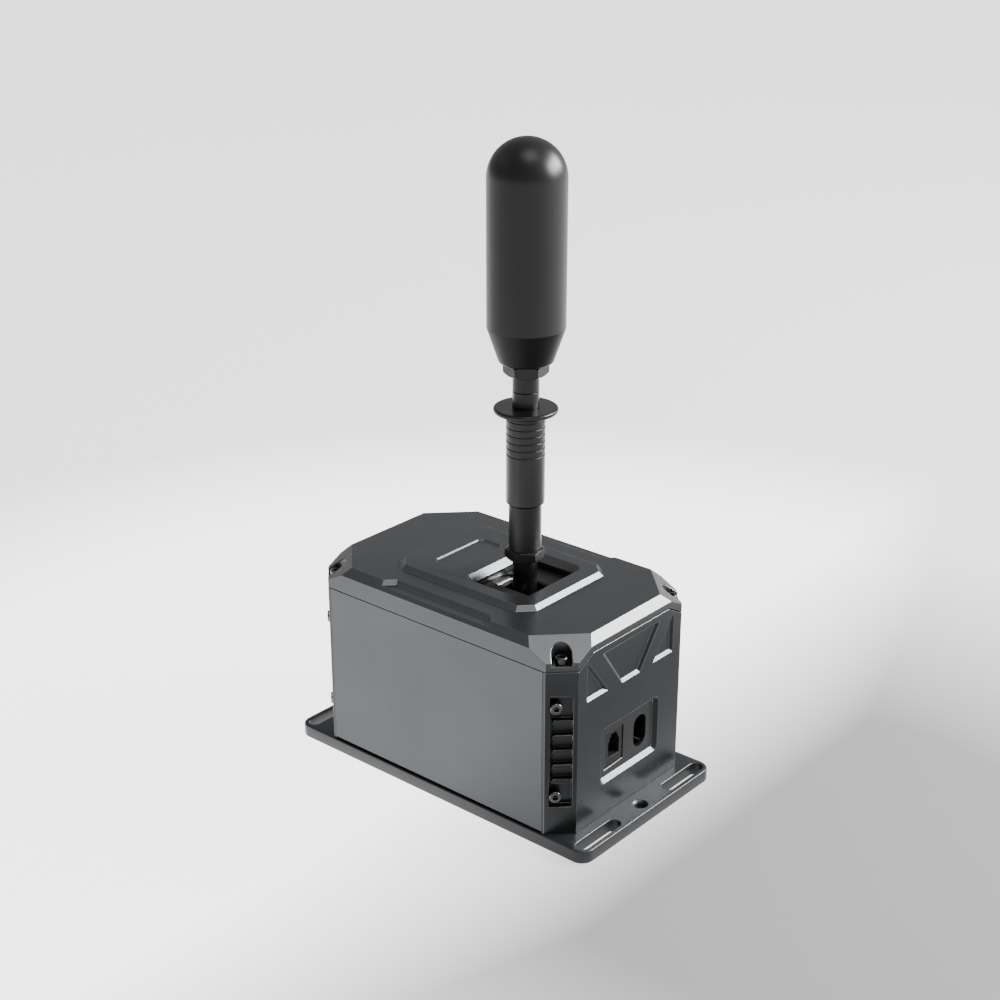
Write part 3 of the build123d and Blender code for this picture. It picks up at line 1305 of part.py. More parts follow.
with BuildPart() as spring_stop_ring:
    with BuildSketch(Plane.XY.offset(stop_ring_foot)):
        with Locations((lever_x, 0)):
            Circle(stop_ring_radius)
            Circle(rod_upper_radius + press_fit_gap, mode=Mode.SUBTRACT)
    extrude(amount=stop_ring_thickness)
finish(spring_stop_ring.part, "spring_stop_ring")

collar_spring_foot = cross_pin_level + cross_pin_radius + pin_fit
with BuildPart() as collar_spring:
    with Locations((lever_x, 0, collar_spring_foot)):
        add(coil(collar_spring_radius, collar_wire_radius, stop_ring_foot - collar_spring_foot,
                 collar_spring_turns))
finish(collar_spring.part, "collar_spring")

# Knob nut and knob
knob_nut_foot = knob_foot - knob_nut_height
with BuildPart() as knob_nut:
    add(hexagon_nut(knob_nut_across, knob_nut_foot, knob_nut_height))
    with BuildSketch(Plane.XY.offset(rod_top)):
        with Locations((lever_x, 0)):
            Circle(rod_upper_radius)
    extrude(amount=knob_nut_foot - rod_top)
    with BuildSketch(Plane.XY.offset(knob_foot)):
        with Locations((lever_x, 0)):
            Circle(knob_socket_radius)
    extrude(amount=knob_socket_depth)
finish(knob_nut.part, "knob_nut")

with BuildPart() as knob:
    with BuildSketch(upright(lever_x, 0, knob_foot)):
        with BuildLine():
            dome_foot = knob_height - knob_radius
            Polyline((0, 0), (knob_foot_radius - knob_foot_break, 0), (knob_foot_radius, knob_foot_break),
                     (knob_radius, knob_taper_height), (knob_radius, dome_foot))
            CenterArc((0, dome_foot), knob_radius, 0, 90)
            Line((0, knob_height), (0, 0))
        make_face()
    revolve(axis=Axis((lever_x, 0, 0), (0, 0, 1)))
    with BuildSketch(Plane.XY.offset(knob_foot)):
        with Locations((lever_x, 0)):
            Circle(knob_socket_radius + press_fit_gap)
    extrude(amount=knob_socket_depth + lockout_end_gap, mode=Mode.SUBTRACT)
finish(knob.part, "knob")

# Magnets on the pin ends and the boards that read them
sensor_seat_x = lever_x - block_inner - block_thickness - select_pin_overhang
with BuildPart() as select_magnet:
    with BuildSketch(Plane.YZ.offset(sensor_seat_x)):
        with Locations((0, pivot)):
            Circle(magnet_radius)
    extrude(amount=-magnet_thickness)
finish(select_magnet.part, "select_magnet")

with BuildPart() as select_sensor_board:
    board_seat = sensor_seat_x - magnet_thickness - sensor_gap - sensor_chip_height
    with BuildSketch(Plane.YZ.offset(board_seat)):
        with Locations((0, pivot)):
            Rectangle(sensor_board_width, sensor_board_length)
            with GridLocations(0, 2 * sensor_boss_spread, 1, 2):
                Circle(small_screw_radius + screw_fit, mode=Mode.SUBTRACT)
    extrude(amount=-board_thickness)
    with BuildSketch(Plane.YZ.offset(board_seat)):
        with Locations((0, pivot)):
            Rectangle(sensor_chip, sensor_chip)
    extrude(amount=sensor_chip_height)
finish(select_sensor_board.part, "select_sensor_board")

board_screw_length = board_thickness + small_screw_reach - screw_fit
with BuildPart() as board_screws:
    with Locations(Plane(origin=(board_seat - board_thickness, 0, pivot), x_dir=(0, 1, 0), z_dir=(-1, 0, 0))):
        with GridLocations(0, 2 * sensor_boss_spread, 1, 2):
            add(cap_screw(board_screw_length, small_screw_radius, small_head_radius, small_head_height))
    with Locations(Plane(origin=(board_face - board_thickness, 0, board_middle),
                         x_dir=(0, 1, 0), z_dir=(-1, 0, 0))):
        with GridLocations(board_hole_x, board_hole_y, 2, 2):
            add(cap_screw(board_screw_length, small_screw_radius, small_head_radius, small_head_height))
finish(board_screws.part, "board_screws")

with BuildPart() as shift_magnet:
    with BuildSketch(Plane.XZ.offset(shift_pin_end)):
        with Locations((lever_x, pivot)):
            Circle(magnet_radius)
    extrude(amount=magnet_thickness)
finish(shift_magnet.part, "shift_magnet")

with BuildPart() as shift_sensor_board:
    shift_board_seat = cradle_half_width + sensor_reach
    with BuildSketch(Plane.XZ.offset(shift_board_seat)):
        with Locations((lever_x, pivot)):
            Rectangle(sensor_board_length, sensor_board_width)
            with GridLocations(2 * sensor_boss_spread, 0, 2, 1):
                Circle(small_screw_radius + screw_fit, mode=Mode.SUBTRACT)
    extrude(amount=board_thickness)
    with BuildSketch(Plane.XZ.offset(shift_board_seat)):
        with Locations((lever_x, pivot)):
            Rectangle(sensor_chip, sensor_chip)
    extrude(amount=-sensor_chip_height)
finish(shift_sensor_board.part, "shift_sensor_board")

with BuildPart() as cradle_screws:
    with Locations(Plane(origin=(lever_x, -shift_board_seat - board_thickness, pivot),
                         x_dir=(1, 0, 0), z_dir=(0, -1, 0))):
        with GridLocations(2 * sensor_boss_spread, 0, 2, 1):
            add(cap_screw(board_screw_length, small_screw_radius, small_head_radius, small_head_height))
    with Locations(Plane(origin=(lever_x, cradle_half_width + bracket_plate, pivot - bracket_screw_drop),
                         x_dir=(1, 0, 0), z_dir=(0, 1, 0))):
        with GridLocations(2 * bracket_screw_spread, 0, 2, 1):
            add(cap_screw(bracket_plate + small_screw_reach - screw_fit,
                          small_screw_radius, small_head_radius, small_head_height - screw_fit))
finish(cradle_screws.part, "cradle_screws")
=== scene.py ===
import json
import math
import bmesh
import bpy
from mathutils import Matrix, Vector


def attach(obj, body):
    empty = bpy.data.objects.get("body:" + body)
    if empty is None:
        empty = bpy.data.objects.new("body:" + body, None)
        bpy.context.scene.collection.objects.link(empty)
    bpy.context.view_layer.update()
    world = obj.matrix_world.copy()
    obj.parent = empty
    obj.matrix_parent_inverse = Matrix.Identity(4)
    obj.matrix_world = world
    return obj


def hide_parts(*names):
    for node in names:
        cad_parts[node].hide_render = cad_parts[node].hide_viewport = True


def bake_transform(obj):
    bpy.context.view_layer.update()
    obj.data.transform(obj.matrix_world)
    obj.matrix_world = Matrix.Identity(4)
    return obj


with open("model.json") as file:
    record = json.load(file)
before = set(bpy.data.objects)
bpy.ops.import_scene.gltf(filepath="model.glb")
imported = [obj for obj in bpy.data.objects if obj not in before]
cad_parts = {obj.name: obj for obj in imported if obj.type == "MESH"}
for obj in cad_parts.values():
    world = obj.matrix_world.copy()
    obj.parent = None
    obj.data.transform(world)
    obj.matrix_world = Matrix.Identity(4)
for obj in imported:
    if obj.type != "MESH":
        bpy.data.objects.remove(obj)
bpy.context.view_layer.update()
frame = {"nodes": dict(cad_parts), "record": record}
nodes = frame["nodes"]
bodies = frame["record"]["behaviour"]["bodies"]
bodyOfNode = {node: body for body, members in bodies.items() for node in members}
slotOfNode = {row["node"]: row["material_slot"] for row in frame["record"]["subparts"]}
mm = 0.001
print("model loaded,", len(nodes), "nodes")


# camera and studio

view = {"place": (0.4836, -0.5672, 0.4433), "azimuth": 40.49, "elevation": 22.5,
        "lens": 63.25, "sensor": 36.0, "clip": (0.01, 50)}


# a compass direction, in which 0 is +Y and 90 is -X, raised by an elevation
def directionOf(azimuth, elevation):
    turn, rise = math.radians(azimuth), math.radians(elevation)
    return Vector((-math.sin(turn) * math.cos(rise), math.cos(turn) * math.cos(rise), math.sin(rise)))


def placeCamera():
    data = bpy.data.cameras.new("camera")
    data.lens = view["lens"]
    data.sensor_width = view["sensor"]
    data.clip_start, data.clip_end = view["clip"]
    camera = bpy.data.objects.new("camera", data)
    camera.location = view["place"]
    forward = directionOf(view["azimuth"], -view["elevation"])
    camera.rotation_euler = forward.to_track_quat("-Z", "Y").to_euler()
    bpy.context.scene.collection.objects.link(camera)
    bpy.context.scene.camera = camera


# each light shines at the aim from its own direction and distance
studio = {
    "aim": (0.0, 0.0, 0.12),
    "world": (0.575, 0.58, 0.588),
    "worldStrength": 1.0,
    "floor": {"size": 14.0, "shade": (0.12, 0.12, 0.12), "cloudScale": 3.0, "cloudShare": 0.985,
              "roughness": 0.9, "specular": 0.1},
    # the table's glow: a painted pool of light beside the object, and a painted shadow around the dim spot
    # past its +X end
    "tableGlow": {"low": 0.26, "high": 3.6, "paintedPoolAcross": (0.12, -0.01), "paintedPoolReach": (0.66, 0.32),
                  "paintedShadowSpot": (0.15, 0.03, 0.0), "paintedShadowReach": (0.12, 0.36), "farShare": 0.55},
    "lights": {
        "slopeLight": {"azimuth": -43, "elevation": 29, "distance": 1.5, "size": (1.1, 0.55), "power": 125},
        "topLight": {"azimuth": -114, "elevation": 74, "distance": 1.6, "size": (0.75, 0.75), "power": 11.0},
        "sideLight": {"azimuth": 126, "elevation": 42, "distance": 1.7, "size": (1.2, 0.8), "power": 1.3},
    },
}


def buildStudio():
    world = bpy.data.worlds.new("studio")
    world.use_nodes = True
    background = world.node_tree.nodes["Background"]
    background.inputs["Color"].default_value = (*studio["world"], 1)
    background.inputs["Strength"].default_value = studio["worldStrength"]
    bpy.context.scene.world = world
    aim = Vector(studio["aim"])
    for name, light in studio["lights"].items():
        data = bpy.data.lights.new(name, "AREA")
        data.shape = "RECTANGLE"
        data.size, data.size_y = light["size"]
        data.energy = light["power"]
        lamp = bpy.data.objects.new(name, data)
        towards = directionOf(light["azimuth"], light["elevation"])
        lamp.location = aim + towards * light["distance"]
        lamp.rotation_euler = (-towards).to_track_quat("-Z", "Y").to_euler()
        bpy.context.scene.collection.objects.link(lamp)
    build = bmesh.new()
    bmesh.ops.create_grid(build, x_segments=1, y_segments=1, size=studio["floor"]["size"] / 2)
    floor = pieceFrom(build, "floor")
    floor.data.materials.append(floorPaint())
    print("studio built with", len(studio["lights"]), "lights")


# shaders

# one value of a material, so that shader maths reads as a sum
class Term:
    def __init__(self, finish, socket):
        self.finish = finish
        self.socket = socket

    def combine(self, operation, first, second):
        return self.finish.node("ShaderNodeMath", {"operation": operation}, {0: first, 1: second})

    def __add__(self, other):
        return self.combine("ADD", self, other)

    def __radd__(self, other):
        return self.combine("ADD", other, self)

    def __sub__(self, other):
        return self.combine("SUBTRACT", self, other)

    def __mul__(self, other):
        return self.combine("MULTIPLY", self, other)

    def larger(self, other):
        return self.combine("MAXIMUM", self, other)


class Finish:
    def __init__(self, name):
        self.material = bpy.data.materials.new(name)
        self.material.use_nodes = True
        self.tree = self.material.node_tree
        self.shader = self.tree.nodes["Principled BSDF"]
        self.place = self.node("ShaderNodeTexCoord", output="Object")

    def node(self, kind, settings=None, inputs=None, output=0):
        made = self.tree.nodes.new(kind)
        for key, value in (settings or {}).items():
            setattr(made, key, value)
        for key, value in (inputs or {}).items():
            self.feed(made.inputs[key], value)
        return Term(self, made.outputs[output])

    def feed(self, socket, value):
        if isinstance(value, Term):
            self.tree.links.new(value.socket, socket)
        elif isinstance(value, tuple) and len(value) == 3 and socket.type == "RGBA":
            socket.default_value = (*value, 1)
        else:
            socket.default_value = value

    def axis(self, index):
        return self.node("ShaderNodeSeparateXYZ", None, {0: self.place}, output=index)

    def noise(self, scale, detail=2.0, stretch=(1, 1, 1)):
        place = self.node("ShaderNodeMapping", None, {"Vector": self.place, "Scale": stretch})
        return self.node("ShaderNodeTexNoise", None, {"Vector": place, "Scale": scale, "Detail": detail})

    def blend(self, share, low, high):
        return self.node("ShaderNodeMix", {"data_type": "RGBA", "clamp_factor": True},
                         {0: share, 6: low, 7: high}, output=2)

    def spread(self, value, low, high):
        return self.node("ShaderNodeMapRange", None, {"Value": value, 1: low, 2: high})

    def bump(self, height, depth):
        return self.node("ShaderNodeBump", None, {"Height": height, "Distance": depth, "Strength": 1.0})

    def wear(self, **inputs):
        for key, value in inputs.items():
            self.feed(self.shader.inputs[socketNames[key]], value)
        return self.material


socketNames = {"colour": "Base Color", "roughness": "Roughness", "metallic": "Metallic", "normal": "Normal",
               "coat": "Coat Weight", "specular": "Specular IOR Level", "glow": "Emission Color",
               "glowStrength": "Emission Strength"}
noiseMiddle = 0.5
noiseRange = (0.3, 0.7)


# a light table: it glows all over, with a painted pool of light round the object's -X half that its long side
# mirrors, and a painted shadow: a dim spot past its +X end that fades back to the far glow
def floorPaint():
    finish = Finish("studioFloor")
    floor, table = studio["floor"], studio["tableGlow"]
    tone = finish.spread(finish.noise(floor["cloudScale"]), *noiseRange)
    colour = finish.blend(tone, floor["shade"], tuple(floor["cloudShare"] * part for part in floor["shade"]))
    away = finish.node("ShaderNodeVectorMath", {"operation": "LENGTH"}, {0: finish.place}, output=1)
    paintedPool = finish.spread(finish.axis(0), *table["paintedPoolAcross"]) * finish.spread(away, *table["paintedPoolReach"])
    shadowDistance = finish.node("ShaderNodeVectorMath", {"operation": "DISTANCE"},
                       {0: finish.place, 1: table["paintedShadowSpot"]}, output=1)
    # the glow is the painted pool of light, or the far glow outside the painted shadow, whichever is larger
    share = paintedPool.larger(finish.spread(shadowDistance, *table["paintedShadowReach"]) * table["farShare"])
    low = table["low"] / table["high"]
    glow = finish.blend(share, (low, low, low), (1, 1, 1))
    return finish.wear(colour=colour, roughness=floor["roughness"], specular=floor["specular"], glow=glow,
                       glowStrength=table["high"])


# anodised pieces: bead-blasted grain, faint clouds in the dye, and handling marks
anodising = {
    "grainScale": 3400.0,
    "grainDepth": 0.004 * mm,
    "cloudScale": 22.0,
    "smearScale": 60.0,
    "smearStretch": (0.35, 1, 1),
    "cloudShare": 0.8,
    "grainShare": 0.2,
    "toneRange": (0.2, 0.8),
    "smearRoughness": 0.10,
    "grainRoughness": 0.08,
    "shades": {
        "coverBlack": {"dark": (0.042, 0.0432, 0.0454), "light": (0.054, 0.0556, 0.0584), "metallic": 0.85,
                       "roughness": 0.29},
        "panelGrey": {"dark": (0.045, 0.0463, 0.0486), "light": (0.057, 0.0587, 0.0616), "metallic": 0.85,
                      "roughness": 0.30},
        # a darker copy of the cover's black for the end covers: painted shade of their end faces
        "endBlack": {"dark": (0.025, 0.0257, 0.027), "light": (0.034, 0.035, 0.0368), "metallic": 0.85,
                     "roughness": 0.29},
        "plateBlack": {"dark": (0.034, 0.035, 0.0367), "light": (0.046, 0.0474, 0.0497), "metallic": 0.85,
                       "roughness": 0.38},
        # a lighter copy worn on broken edges: a painted highlight along them
        "edgeGlint": {"dark": (0.07, 0.0718, 0.0745), "light": (0.10, 0.102, 0.106), "metallic": 0.9,
                      "roughness": 0.28},
    },
}


def anodised(name):
    shade = anodising["shades"][name]
    finish = Finish(name)
    grain = finish.noise(anodising["grainScale"], detail=2)
    cloud = finish.noise(anodising["cloudScale"], detail=3)
    smear = finish.noise(anodising["smearScale"], detail=4, stretch=anodising["smearStretch"])
    share = cloud * anodising["cloudShare"] + grain * anodising["grainShare"]
    colour = finish.blend(finish.spread(share, *anodising["toneRange"]), shade["dark"], shade["light"])
    roughness = (shade["roughness"] + (smear - noiseMiddle) * anodising["smearRoughness"]
                 + (grain - noiseMiddle) * anodising["grainRoughness"])
    normal = finish.bump(grain, anodising["grainDepth"])
    return finish.wear(colour=colour, roughness=roughness, metallic=shade["metallic"], normal=normal)


# turned, drawn and milled metal: fine lines along the direction that its stretch makes small
metals = {
    "leverBlack": {"dark": (0.011, 0.011, 0.0114), "light": (0.018, 0.018, 0.0187), "metallic": 0.85,
                   "roughness": 0.34, "lines": 5200.0, "stretch": (0.02, 0.02, 1)},
    "collarBlack": {"dark": (0.015, 0.015, 0.0156), "light": (0.023, 0.023, 0.0239), "metallic": 0.85,
                    "roughness": 0.30, "lines": 4600.0, "stretch": (0.02, 0.02, 1)},
    "zincScrew": {"dark": (0.07, 0.07, 0.0725), "light": (0.12, 0.12, 0.1235), "metallic": 1.0,
                  "roughness": 0.16, "lines": 2600.0, "stretch": (1, 1, 1)},
    "blackScrew": {"dark": (0.035, 0.035, 0.036), "light": (0.055, 0.055, 0.056), "metallic": 0.9,
                   "roughness": 0.24, "lines": 2600.0, "stretch": (1, 1, 1)},
    "machinedBlock": {"dark": (0.44, 0.45, 0.46), "light": (0.62, 0.63, 0.64), "metallic": 1.0,
                      "roughness": 0.34, "lines": 1800.0, "stretch": (0.05, 1, 1)},
    "cutSteel": {"dark": (0.34, 0.34, 0.35), "light": (0.50, 0.50, 0.51), "metallic": 1.0,
                 "roughness": 0.36, "lines": 1500.0, "stretch": (1, 0.06, 1)},
    "groundPin": {"dark": (0.44, 0.44, 0.45), "light": (0.60, 0.60, 0.61), "metallic": 1.0,
                  "roughness": 0.24, "lines": 4200.0, "stretch": (1, 0.08, 1)},
    "springWire": {"dark": (0.28, 0.28, 0.29), "light": (0.50, 0.50, 0.51), "metallic": 1.0,
                   "roughness": 0.30, "lines": 2400.0, "stretch": (1, 1, 0.3)},
    "bushBrass": {"dark": (0.52, 0.36, 0.14), "light": (0.72, 0.54, 0.26), "metallic": 1.0,
                  "roughness": 0.30, "lines": 3000.0, "stretch": (0.2, 1, 1)},
    "nickelPlate": {"dark": (0.60, 0.60, 0.61), "light": (0.74, 0.74, 0.75), "metallic": 1.0,
                    "roughness": 0.16, "lines": 1200.0, "stretch": (1, 1, 1)},
    # gold darkened well below its own colour: painted shade of the jack's mouth, where the contacts sit
    "contactGold": {"dark": (0.30, 0.21, 0.08), "light": (0.42, 0.30, 0.12), "metallic": 1.0,
                    "roughness": 0.22, "lines": 3200.0, "stretch": (0.1, 1, 1)},
    "socketShell": {"dark": (0.50, 0.50, 0.51), "light": (0.68, 0.68, 0.69), "metallic": 1.0,
                    "roughness": 0.26, "lines": 3000.0, "stretch": (0.08, 1, 1)},
}
toolMarks = {"lineDepth": 0.001 * mm, "cloudScale": 45.0, "lineShare": 0.6, "cloudShare": 0.4,
             "lineRoughness": 0.14, "cloudRoughness": 0.06}


def metal(name):
    shade = metals[name]
    finish = Finish(name)
    lines = finish.noise(shade["lines"], detail=3, stretch=shade["stretch"])
    cloud = finish.noise(toolMarks["cloudScale"], detail=3)
    share = lines * toolMarks["lineShare"] + cloud * toolMarks["cloudShare"]
    colour = finish.blend(finish.spread(share, *noiseRange), shade["dark"], shade["light"])
    roughness = (shade["roughness"] + (lines - noiseMiddle) * toolMarks["lineRoughness"]
                 + (cloud - noiseMiddle) * toolMarks["cloudRoughness"])
    normal = finish.bump(lines, toolMarks["lineDepth"])
    return finish.wear(colour=colour, roughness=roughness, metallic=shade["metallic"], normal=normal)


# moulded pieces: a spark-eroded grain, faint clouds, and places that are rubbed smoother
plastics = {
    "knobSkin": {"dark": (0.003, 0.003, 0.0032), "light": (0.006, 0.006, 0.0062), "roughness": 0.36,
                 "grainScale": 2600.0, "grainDepth": 0.004 * mm, "specular": 0.21},
    # a darker copy of the knob's skin for its tapered foot, partly painted shade of the downward-facing taper
    "knobFoot": {"dark": (0.0015, 0.0015, 0.0016), "light": (0.003, 0.003, 0.0031), "roughness": 0.42,
                 "grainScale": 2600.0, "grainDepth": 0.004 * mm, "specular": 0.09},
    "jackBlack": {"dark": (0.006, 0.006, 0.0064), "light": (0.011, 0.011, 0.0116), "roughness": 0.42,
                  "grainScale": 1800.0, "grainDepth": 0.006 * mm, "specular": 0.14},
    "shieldBlack": {"dark": (0.006, 0.006, 0.0063), "light": (0.010, 0.010, 0.0104), "roughness": 0.5,
                    "grainScale": 1800.0, "grainDepth": 0.006 * mm, "specular": 0.1},
    "guideBlack": {"dark": (0.024, 0.024, 0.025), "light": (0.040, 0.040, 0.041), "roughness": 0.52,
                   "grainScale": 1500.0, "grainDepth": 0.008 * mm, "specular": 0.5},
}
mouldMarks = {"cloudScale": 30.0, "rubScale": 12.0, "rubRange": (0.52, 0.72), "cloudShare": 0.6,
              "grainShare": 0.4, "grainRoughness": 0.10, "rubRoughness": 0.05}


def moulded(name):
    shade = plastics[name]
    finish = Finish(name)
    grain = finish.noise(shade["grainScale"], detail=3)
    cloud = finish.noise(mouldMarks["cloudScale"], detail=3)
    rub = finish.spread(finish.noise(mouldMarks["rubScale"], detail=5), *mouldMarks["rubRange"])
    share = cloud * mouldMarks["cloudShare"] + grain * mouldMarks["grainShare"]
    colour = finish.blend(finish.spread(share, *noiseRange), shade["dark"], shade["light"])
    roughness = (shade["roughness"] + (grain - noiseMiddle) * mouldMarks["grainRoughness"]
                 - rub * mouldMarks["rubRoughness"])
    normal = finish.bump(grain, shade["grainDepth"])
    return finish.wear(colour=colour, roughness=roughness, normal=normal, specular=shade["specular"])


# circuit boards: raised copper tracks under a green mask
boardMask = {
    "dark": (0.008, 0.060, 0.026), "light": (0.016, 0.105, 0.048), "roughness": 0.30, "coat": 0.3,
    "trackWidth": 0.9 * mm, "trackDepth": 0.03 * mm, "tracksPerWidth": 0.3, "randomness": 0.7,
    "trackRange": (0.42, 0.50), "trackShare": 0.8, "speckScale": 1400.0, "speckShare": 0.2,
    "speckRoughness": 0.12,
}


def circuitBoard(name):
    finish = Finish(name)
    scale = boardMask["tracksPerWidth"] / boardMask["trackWidth"]
    tracks = finish.node("ShaderNodeTexVoronoi", {"distance": "MANHATTAN", "feature": "F1"},
                         {"Vector": finish.place, "Scale": scale, "Randomness": boardMask["randomness"]})
    track = finish.spread(tracks, *boardMask["trackRange"])
    speck = finish.noise(boardMask["speckScale"], detail=2)
    share = track * boardMask["trackShare"] + speck * boardMask["speckShare"]
    colour = finish.blend(share, boardMask["dark"], boardMask["light"])
    roughness = boardMask["roughness"] + (speck - noiseMiddle) * boardMask["speckRoughness"]
    normal = finish.bump(track, boardMask["trackDepth"])
    return finish.wear(colour=colour, roughness=roughness, normal=normal, coat=boardMask["coat"])


paints = {}
for shades, makePaint in ((anodising["shades"], anodised), (metals, metal), (plastics, moulded)):
    for paintName in shades:
        paints[paintName] = makePaint(paintName)
paints["boardGreen"] = circuitBoard("boardGreen")
paintOfSlot = {"base": "plateBlack", "cover": "coverBlack", "panel": "panelGrey", "silver_screw": "zincScrew",
               "black_screw": "blackScrew", "inner_block": "machinedBlock", "shield": "shieldBlack",
               "gate": "cutSteel", "bush": "bushBrass", "pin": "groundPin", "spring": "springWire",
               "spring_guide": "guideBlack", "magnet": "nickelPlate", "board": "boardGreen",
               "jack": "jackBlack", "usb_shell": "socketShell", "lever": "leverBlack",
               "collar": "collarBlack", "knob": "knobSkin"}
# the end covers wear the darker copy of the cover's black, painted shade
paintOfNode = {"front_end_cover": "endBlack", "rear_end_cover": "endBlack"}
print("materials made:", len(paints))


# how edges are broken

# angles are in degrees: an edge sharper than its piece's angle is broken
edgeRules = {"angle": 28, "segments": 2, "faceWeight": 80, "rimAngle": 30, "rimSegments": 3,
             "flatAngle": 0.6, "mergeDistance": 0.004 * mm}
edgeAngles = {"base_plate": 50}

# the width of the broken edges of each dressed node, in millimetres
edgeWidths = {
    "top_cover": 0.22, "front_end_cover": 0.22, "rear_end_cover": 0.22, "left_side_panel": 0.2,
    "right_side_panel": 0.2, "base_plate": 0.25, "dust_shield": 0.12, "jam_nut": 0.15, "knob_nut": 0.15,
    "lever_rod": 0.12, "lever_tube": 0.2, "modular_jack": 0.15, "guide_frame": 0.15, "corner_screws": 0.12,
    "top_cover_screws": 0.12, "lift_collar": 0.12,
}

# rims with a wider broken edge than the rest of their piece: two corners of the box that holds the rim, and
# the width, in millimetres; the base plate has two slots and a countersunk hole at each end
slotRims = [((x, y, 6.2), (x + 6.6, y + 29.4, 6.4), 0.55) for x in (-87.7, 81.1) for y in (-47.0, 17.6)]
endHoleRims = [((x, -3.8, 6.2), (x + 7.6, 3.8, 6.4), 0.3) for x in (-87.6, 80.0)]
rims = {
    "base_plate": slotRims + endHoleRims,
    "jam_nut": [((22.0, -5.2, 115.1), (23.0, 5.2, 115.3), 0.8)],
    "lever_rod": [((0.0, -14.4, 190.9), (28.8, 14.4, 191.1), 0.35)],
    "knob_nut": [((0.0, -14.4, 190.9), (28.8, 14.4, 191.1), 0.35)],
    "front_end_cover": [((74.3, 6.3, 28.9), (74.5, 15.3, 45.2), 0.5),
                        ((74.3, -15.3, 27.9), (74.5, -1.5, 28.1), 0.8)],
}

# the four screw pockets of the top cover, each a round end that opens towards its corner, in millimetres
pocket = {"spot": (68.49, 40.48), "radius": 4.4, "slack": 0.12, "floor": 90.3, "width": 0.45}


def onPocketRim(point):
    across, along = abs(point.x) / mm - pocket["spot"][0], abs(point.y) / mm - pocket["spot"][1]
    outward, sideways = (across + along) / math.sqrt(2), (across - along) / math.sqrt(2)
    reach = abs(sideways) if outward > 0 else math.hypot(outward, sideways)
    return abs(reach - pocket["radius"]) < pocket["slack"] and point.z > pocket["floor"] * mm


def within(low, high):
    return lambda point: all(a * mm <= part <= b * mm for a, part, b in zip(low, point, high))


# pieces

def pieceFrom(build, name):
    mesh = bpy.data.meshes.new(name)
    build.to_mesh(mesh)
    build.free()
    piece = bpy.data.objects.new(name, mesh)
    bpy.context.scene.collection.objects.link(piece)
    return piece


def smooth(piece, angle):
    for face in piece.data.polygons:
        face.use_smooth = True
    piece.data.set_sharp_from_angle(angle=math.radians(angle))


def soften(piece, width, angle, edgePaint):
    rounding = piece.modifiers.new("edges", "BEVEL")
    rounding.width = width
    rounding.segments = edgeRules["segments"]
    rounding.limit_method = "ANGLE"
    rounding.use_clamp_overlap = False
    rounding.angle_limit = math.radians(angle)
    rounding.miter_outer = "MITER_ARC"
    # the bevel faces take the edge paint, a lighter colour that paints highlights along the broken edges
    if edgePaint:
        piece.data.materials.append(paints[edgePaint])
        rounding.material = len(piece.data.materials) - 1
    flat = piece.modifiers.new("flatFaces", "WEIGHTED_NORMAL")
    flat.mode = "FACE_AREA"
    flat.weight = edgeRules["faceWeight"]


# a copy of a node's mesh with the corners of neighbouring triangles joined
def mergedCopy(name):
    build = bmesh.new()
    build.from_mesh(nodes[name].data)
    bmesh.ops.remove_doubles(build, verts=build.verts, dist=edgeRules["mergeDistance"])
    return build


def breakRim(build, onRim, width):
    sharp = math.radians(edgeRules["rimAngle"])
    rim = [edge for edge in build.edges
           if edge.calc_face_angle(0) > sharp and all(onRim(corner.co) for corner in edge.verts)]
    if rim:
        bmesh.ops.bevel(build, geom=rim, offset=width * mm, offset_type="OFFSET", profile=0.5,
                        segments=edgeRules["rimSegments"], affect="EDGES", clamp_overlap=True, material=-1)
    print("  rim edges broken:", len(rim))


# a copy of a node with its triangles joined into flat faces and its edges broken
def dress(name, width, angle, edgePaint=None):
    build = mergedCopy(name)
    bmesh.ops.dissolve_limit(build, angle_limit=math.radians(edgeRules["flatAngle"]), verts=build.verts,
                             edges=build.edges)
    for low, high, rimWidth in rims.get(name, []):
        breakRim(build, within(low, high), rimWidth)
    if name == "top_cover":
        breakRim(build, onPocketRim, pocket["width"])
    bmesh.ops.triangulate(build, faces=[face for face in build.faces if len(face.verts) > 4])
    piece = pieceFrom(build, name + "_dressed")
    piece.data.materials.append(paints[paintOfNode.get(name) or paintOfSlot[slotOfNode[name]]])
    smooth(piece, angle)
    soften(piece, width, angle, edgePaint)
    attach(piece, bodyOfNode[name])
    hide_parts(name)
    return piece


for name, node in nodes.items():
    node.data.materials.clear()
    node.data.materials.append(paints[paintOfSlot[slotOfNode[name]]])

# pieces whose broken edges wear the painted edge highlight
paintedHighlightSlots = ("cover", "panel", "base", "shield")
dressed = {}
for name, width in edgeWidths.items():
    dressed[name] = dress(name, width * mm, edgeAngles.get(name, edgeRules["angle"]),
                          "edgeGlint" if slotOfNode[name] in paintedHighlightSlots else None)

# the slanted rim of the shield's slot wears the lighter edge colour too: a painted highlight along the rim
slanted = (0.3, 0.95)
for face in dressed["dust_shield"].data.polygons:
    if slanted[0] < face.normal.z < slanted[1]:
        face.material_index = 1
print("nodes dressed:", len(dressed))

# each coil spring, with the bodies at its lower and upper end; its coil is copied as it stands and smooth
# shaded
springEnds = {
    "left_centring_spring": ("housing", "cradle"), "right_centring_spring": ("housing", "cradle"),
    "detent_spring": ("cradle", "plunger"), "collar_spring": ("collar", "lever"),
}
coilAngle = 50


def dressSpring(name):
    coil = pieceFrom(mergedCopy(name), name + "_coil")
    coil.data.materials.append(paints[paintOfSlot[slotOfNode[name]]])
    smooth(coil, coilAngle)
    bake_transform(coil)
    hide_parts(name)


for name, (lowerBody, upperBody) in springEnds.items():
    dressSpring(name)
print("springs dressed:", len(springEnds))


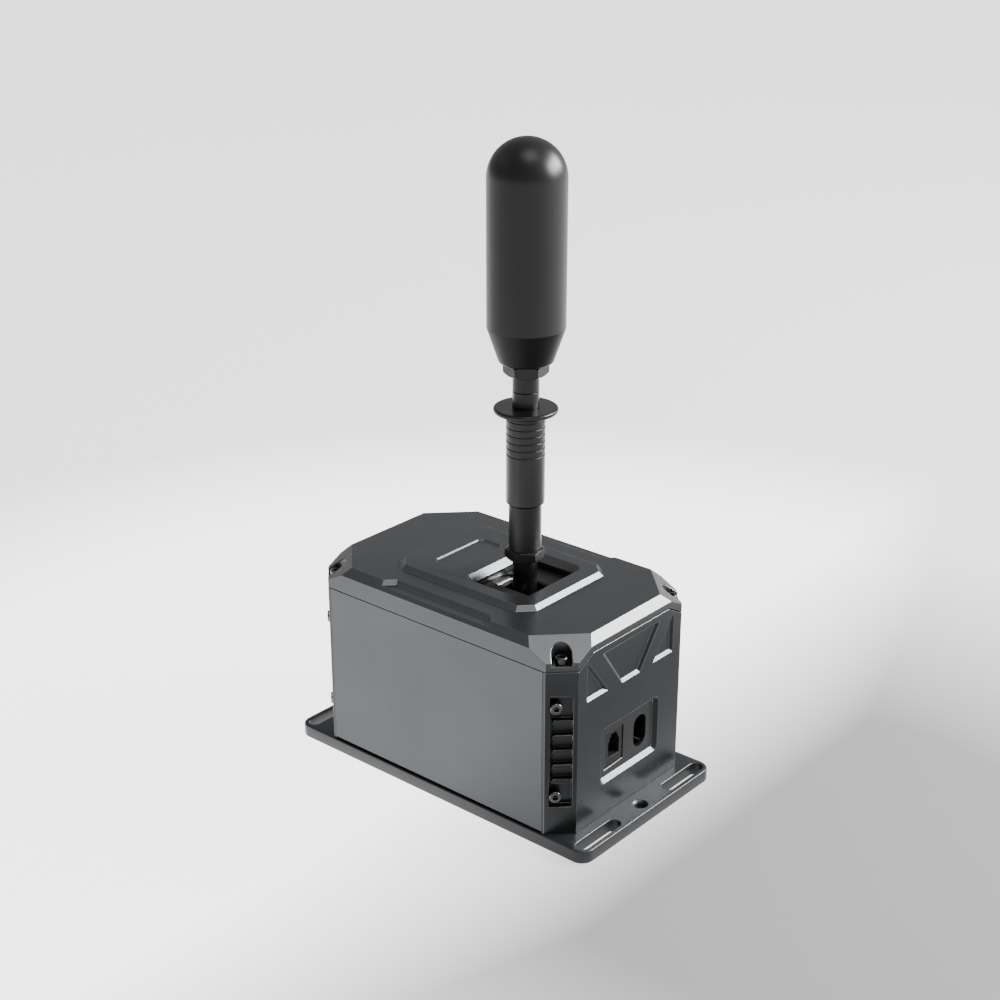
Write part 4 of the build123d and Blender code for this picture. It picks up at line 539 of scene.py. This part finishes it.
# the knob's tapered foot wears a darker, less shiny copy of its grip's moulding: partly a real tone change at
# the taper, partly painted shade where it faces down
grip = {"edge": 0.3 * mm, "angle": 12, "taperTop": 220.2 * mm}


def dressKnob():
    knob = dress("knob", grip["edge"], grip["angle"])
    knob.data.materials.append(paints["knobFoot"])
    for face in knob.data.polygons:
        if face.center.z < grip["taperTop"]:
            face.material_index = 1
    print("knob dressed")


dressKnob()


# spring contacts in the mouth of the modular jack, each a wire that rises from the floor towards the back
contacts = {
    "count": 4, "pitch": 1.02, "middle": -8.4, "thickness": 0.42, "rings": 28, "sides": 10, "angle": 40,
    "route": [(70.4, 32.35), (69.2, 32.45), (68.4, 32.9), (66.2, 35.1), (64.4, 36.4), (63.4, 36.2)],
}


# a point of the smooth curve through the route, as x and z
def alongRoute(route, share):
    place = share * (len(route) - 1)
    step = min(int(place), len(route) - 2)
    before, start, end, after = (route[min(max(step + k, 0), len(route) - 1)] for k in (-1, 0, 1, 2))
    t = place - step
    return [0.5 * (2 * b + (c - a) * t + (2 * a - 5 * b + 4 * c - d) * t ** 2
                   + (3 * b - a - 3 * c + d) * t ** 3)
            for a, b, c, d in zip(before, start, end, after)]


def buildContacts():
    build = bmesh.new()
    radius = contacts["thickness"] / 2
    rings, sides = contacts["rings"], contacts["sides"]
    for number in range(contacts["count"]):
        y = contacts["middle"] + (number - (contacts["count"] - 1) / 2) * contacts["pitch"]
        loops = []
        for ring in range(rings + 1):
            x, z = alongRoute(contacts["route"], ring / rings)
            aheadX, aheadZ = alongRoute(contacts["route"], min(1, (ring + 0.5) / rings))
            behindX, behindZ = alongRoute(contacts["route"], max(0, (ring - 0.5) / rings))
            slope = math.atan2(aheadZ - behindZ, aheadX - behindX)
            turns = [math.tau * side / sides for side in range(sides)]
            loops.append([build.verts.new(((x - math.sin(slope) * math.sin(turn) * radius) * mm,
                                           (y + math.cos(turn) * radius) * mm,
                                           (z + math.cos(slope) * math.sin(turn) * radius) * mm))
                          for turn in turns])
        for first, second in zip(loops, loops[1:]):
            for side in range(sides):
                after = (side + 1) % sides
                build.faces.new((first[side], first[after], second[after], second[side]))
        build.faces.new(loops[0][::-1])
        build.faces.new(loops[-1])
    bmesh.ops.recalc_face_normals(build, faces=build.faces)
    wires = pieceFrom(build, "jack_contacts")
    wires.data.materials.append(paints["contactGold"])
    smooth(wires, contacts["angle"])
    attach(wires, bodyOfNode["modular_jack"])
    print("jack contacts built")


buildContacts()


placeCamera()
buildStudio()
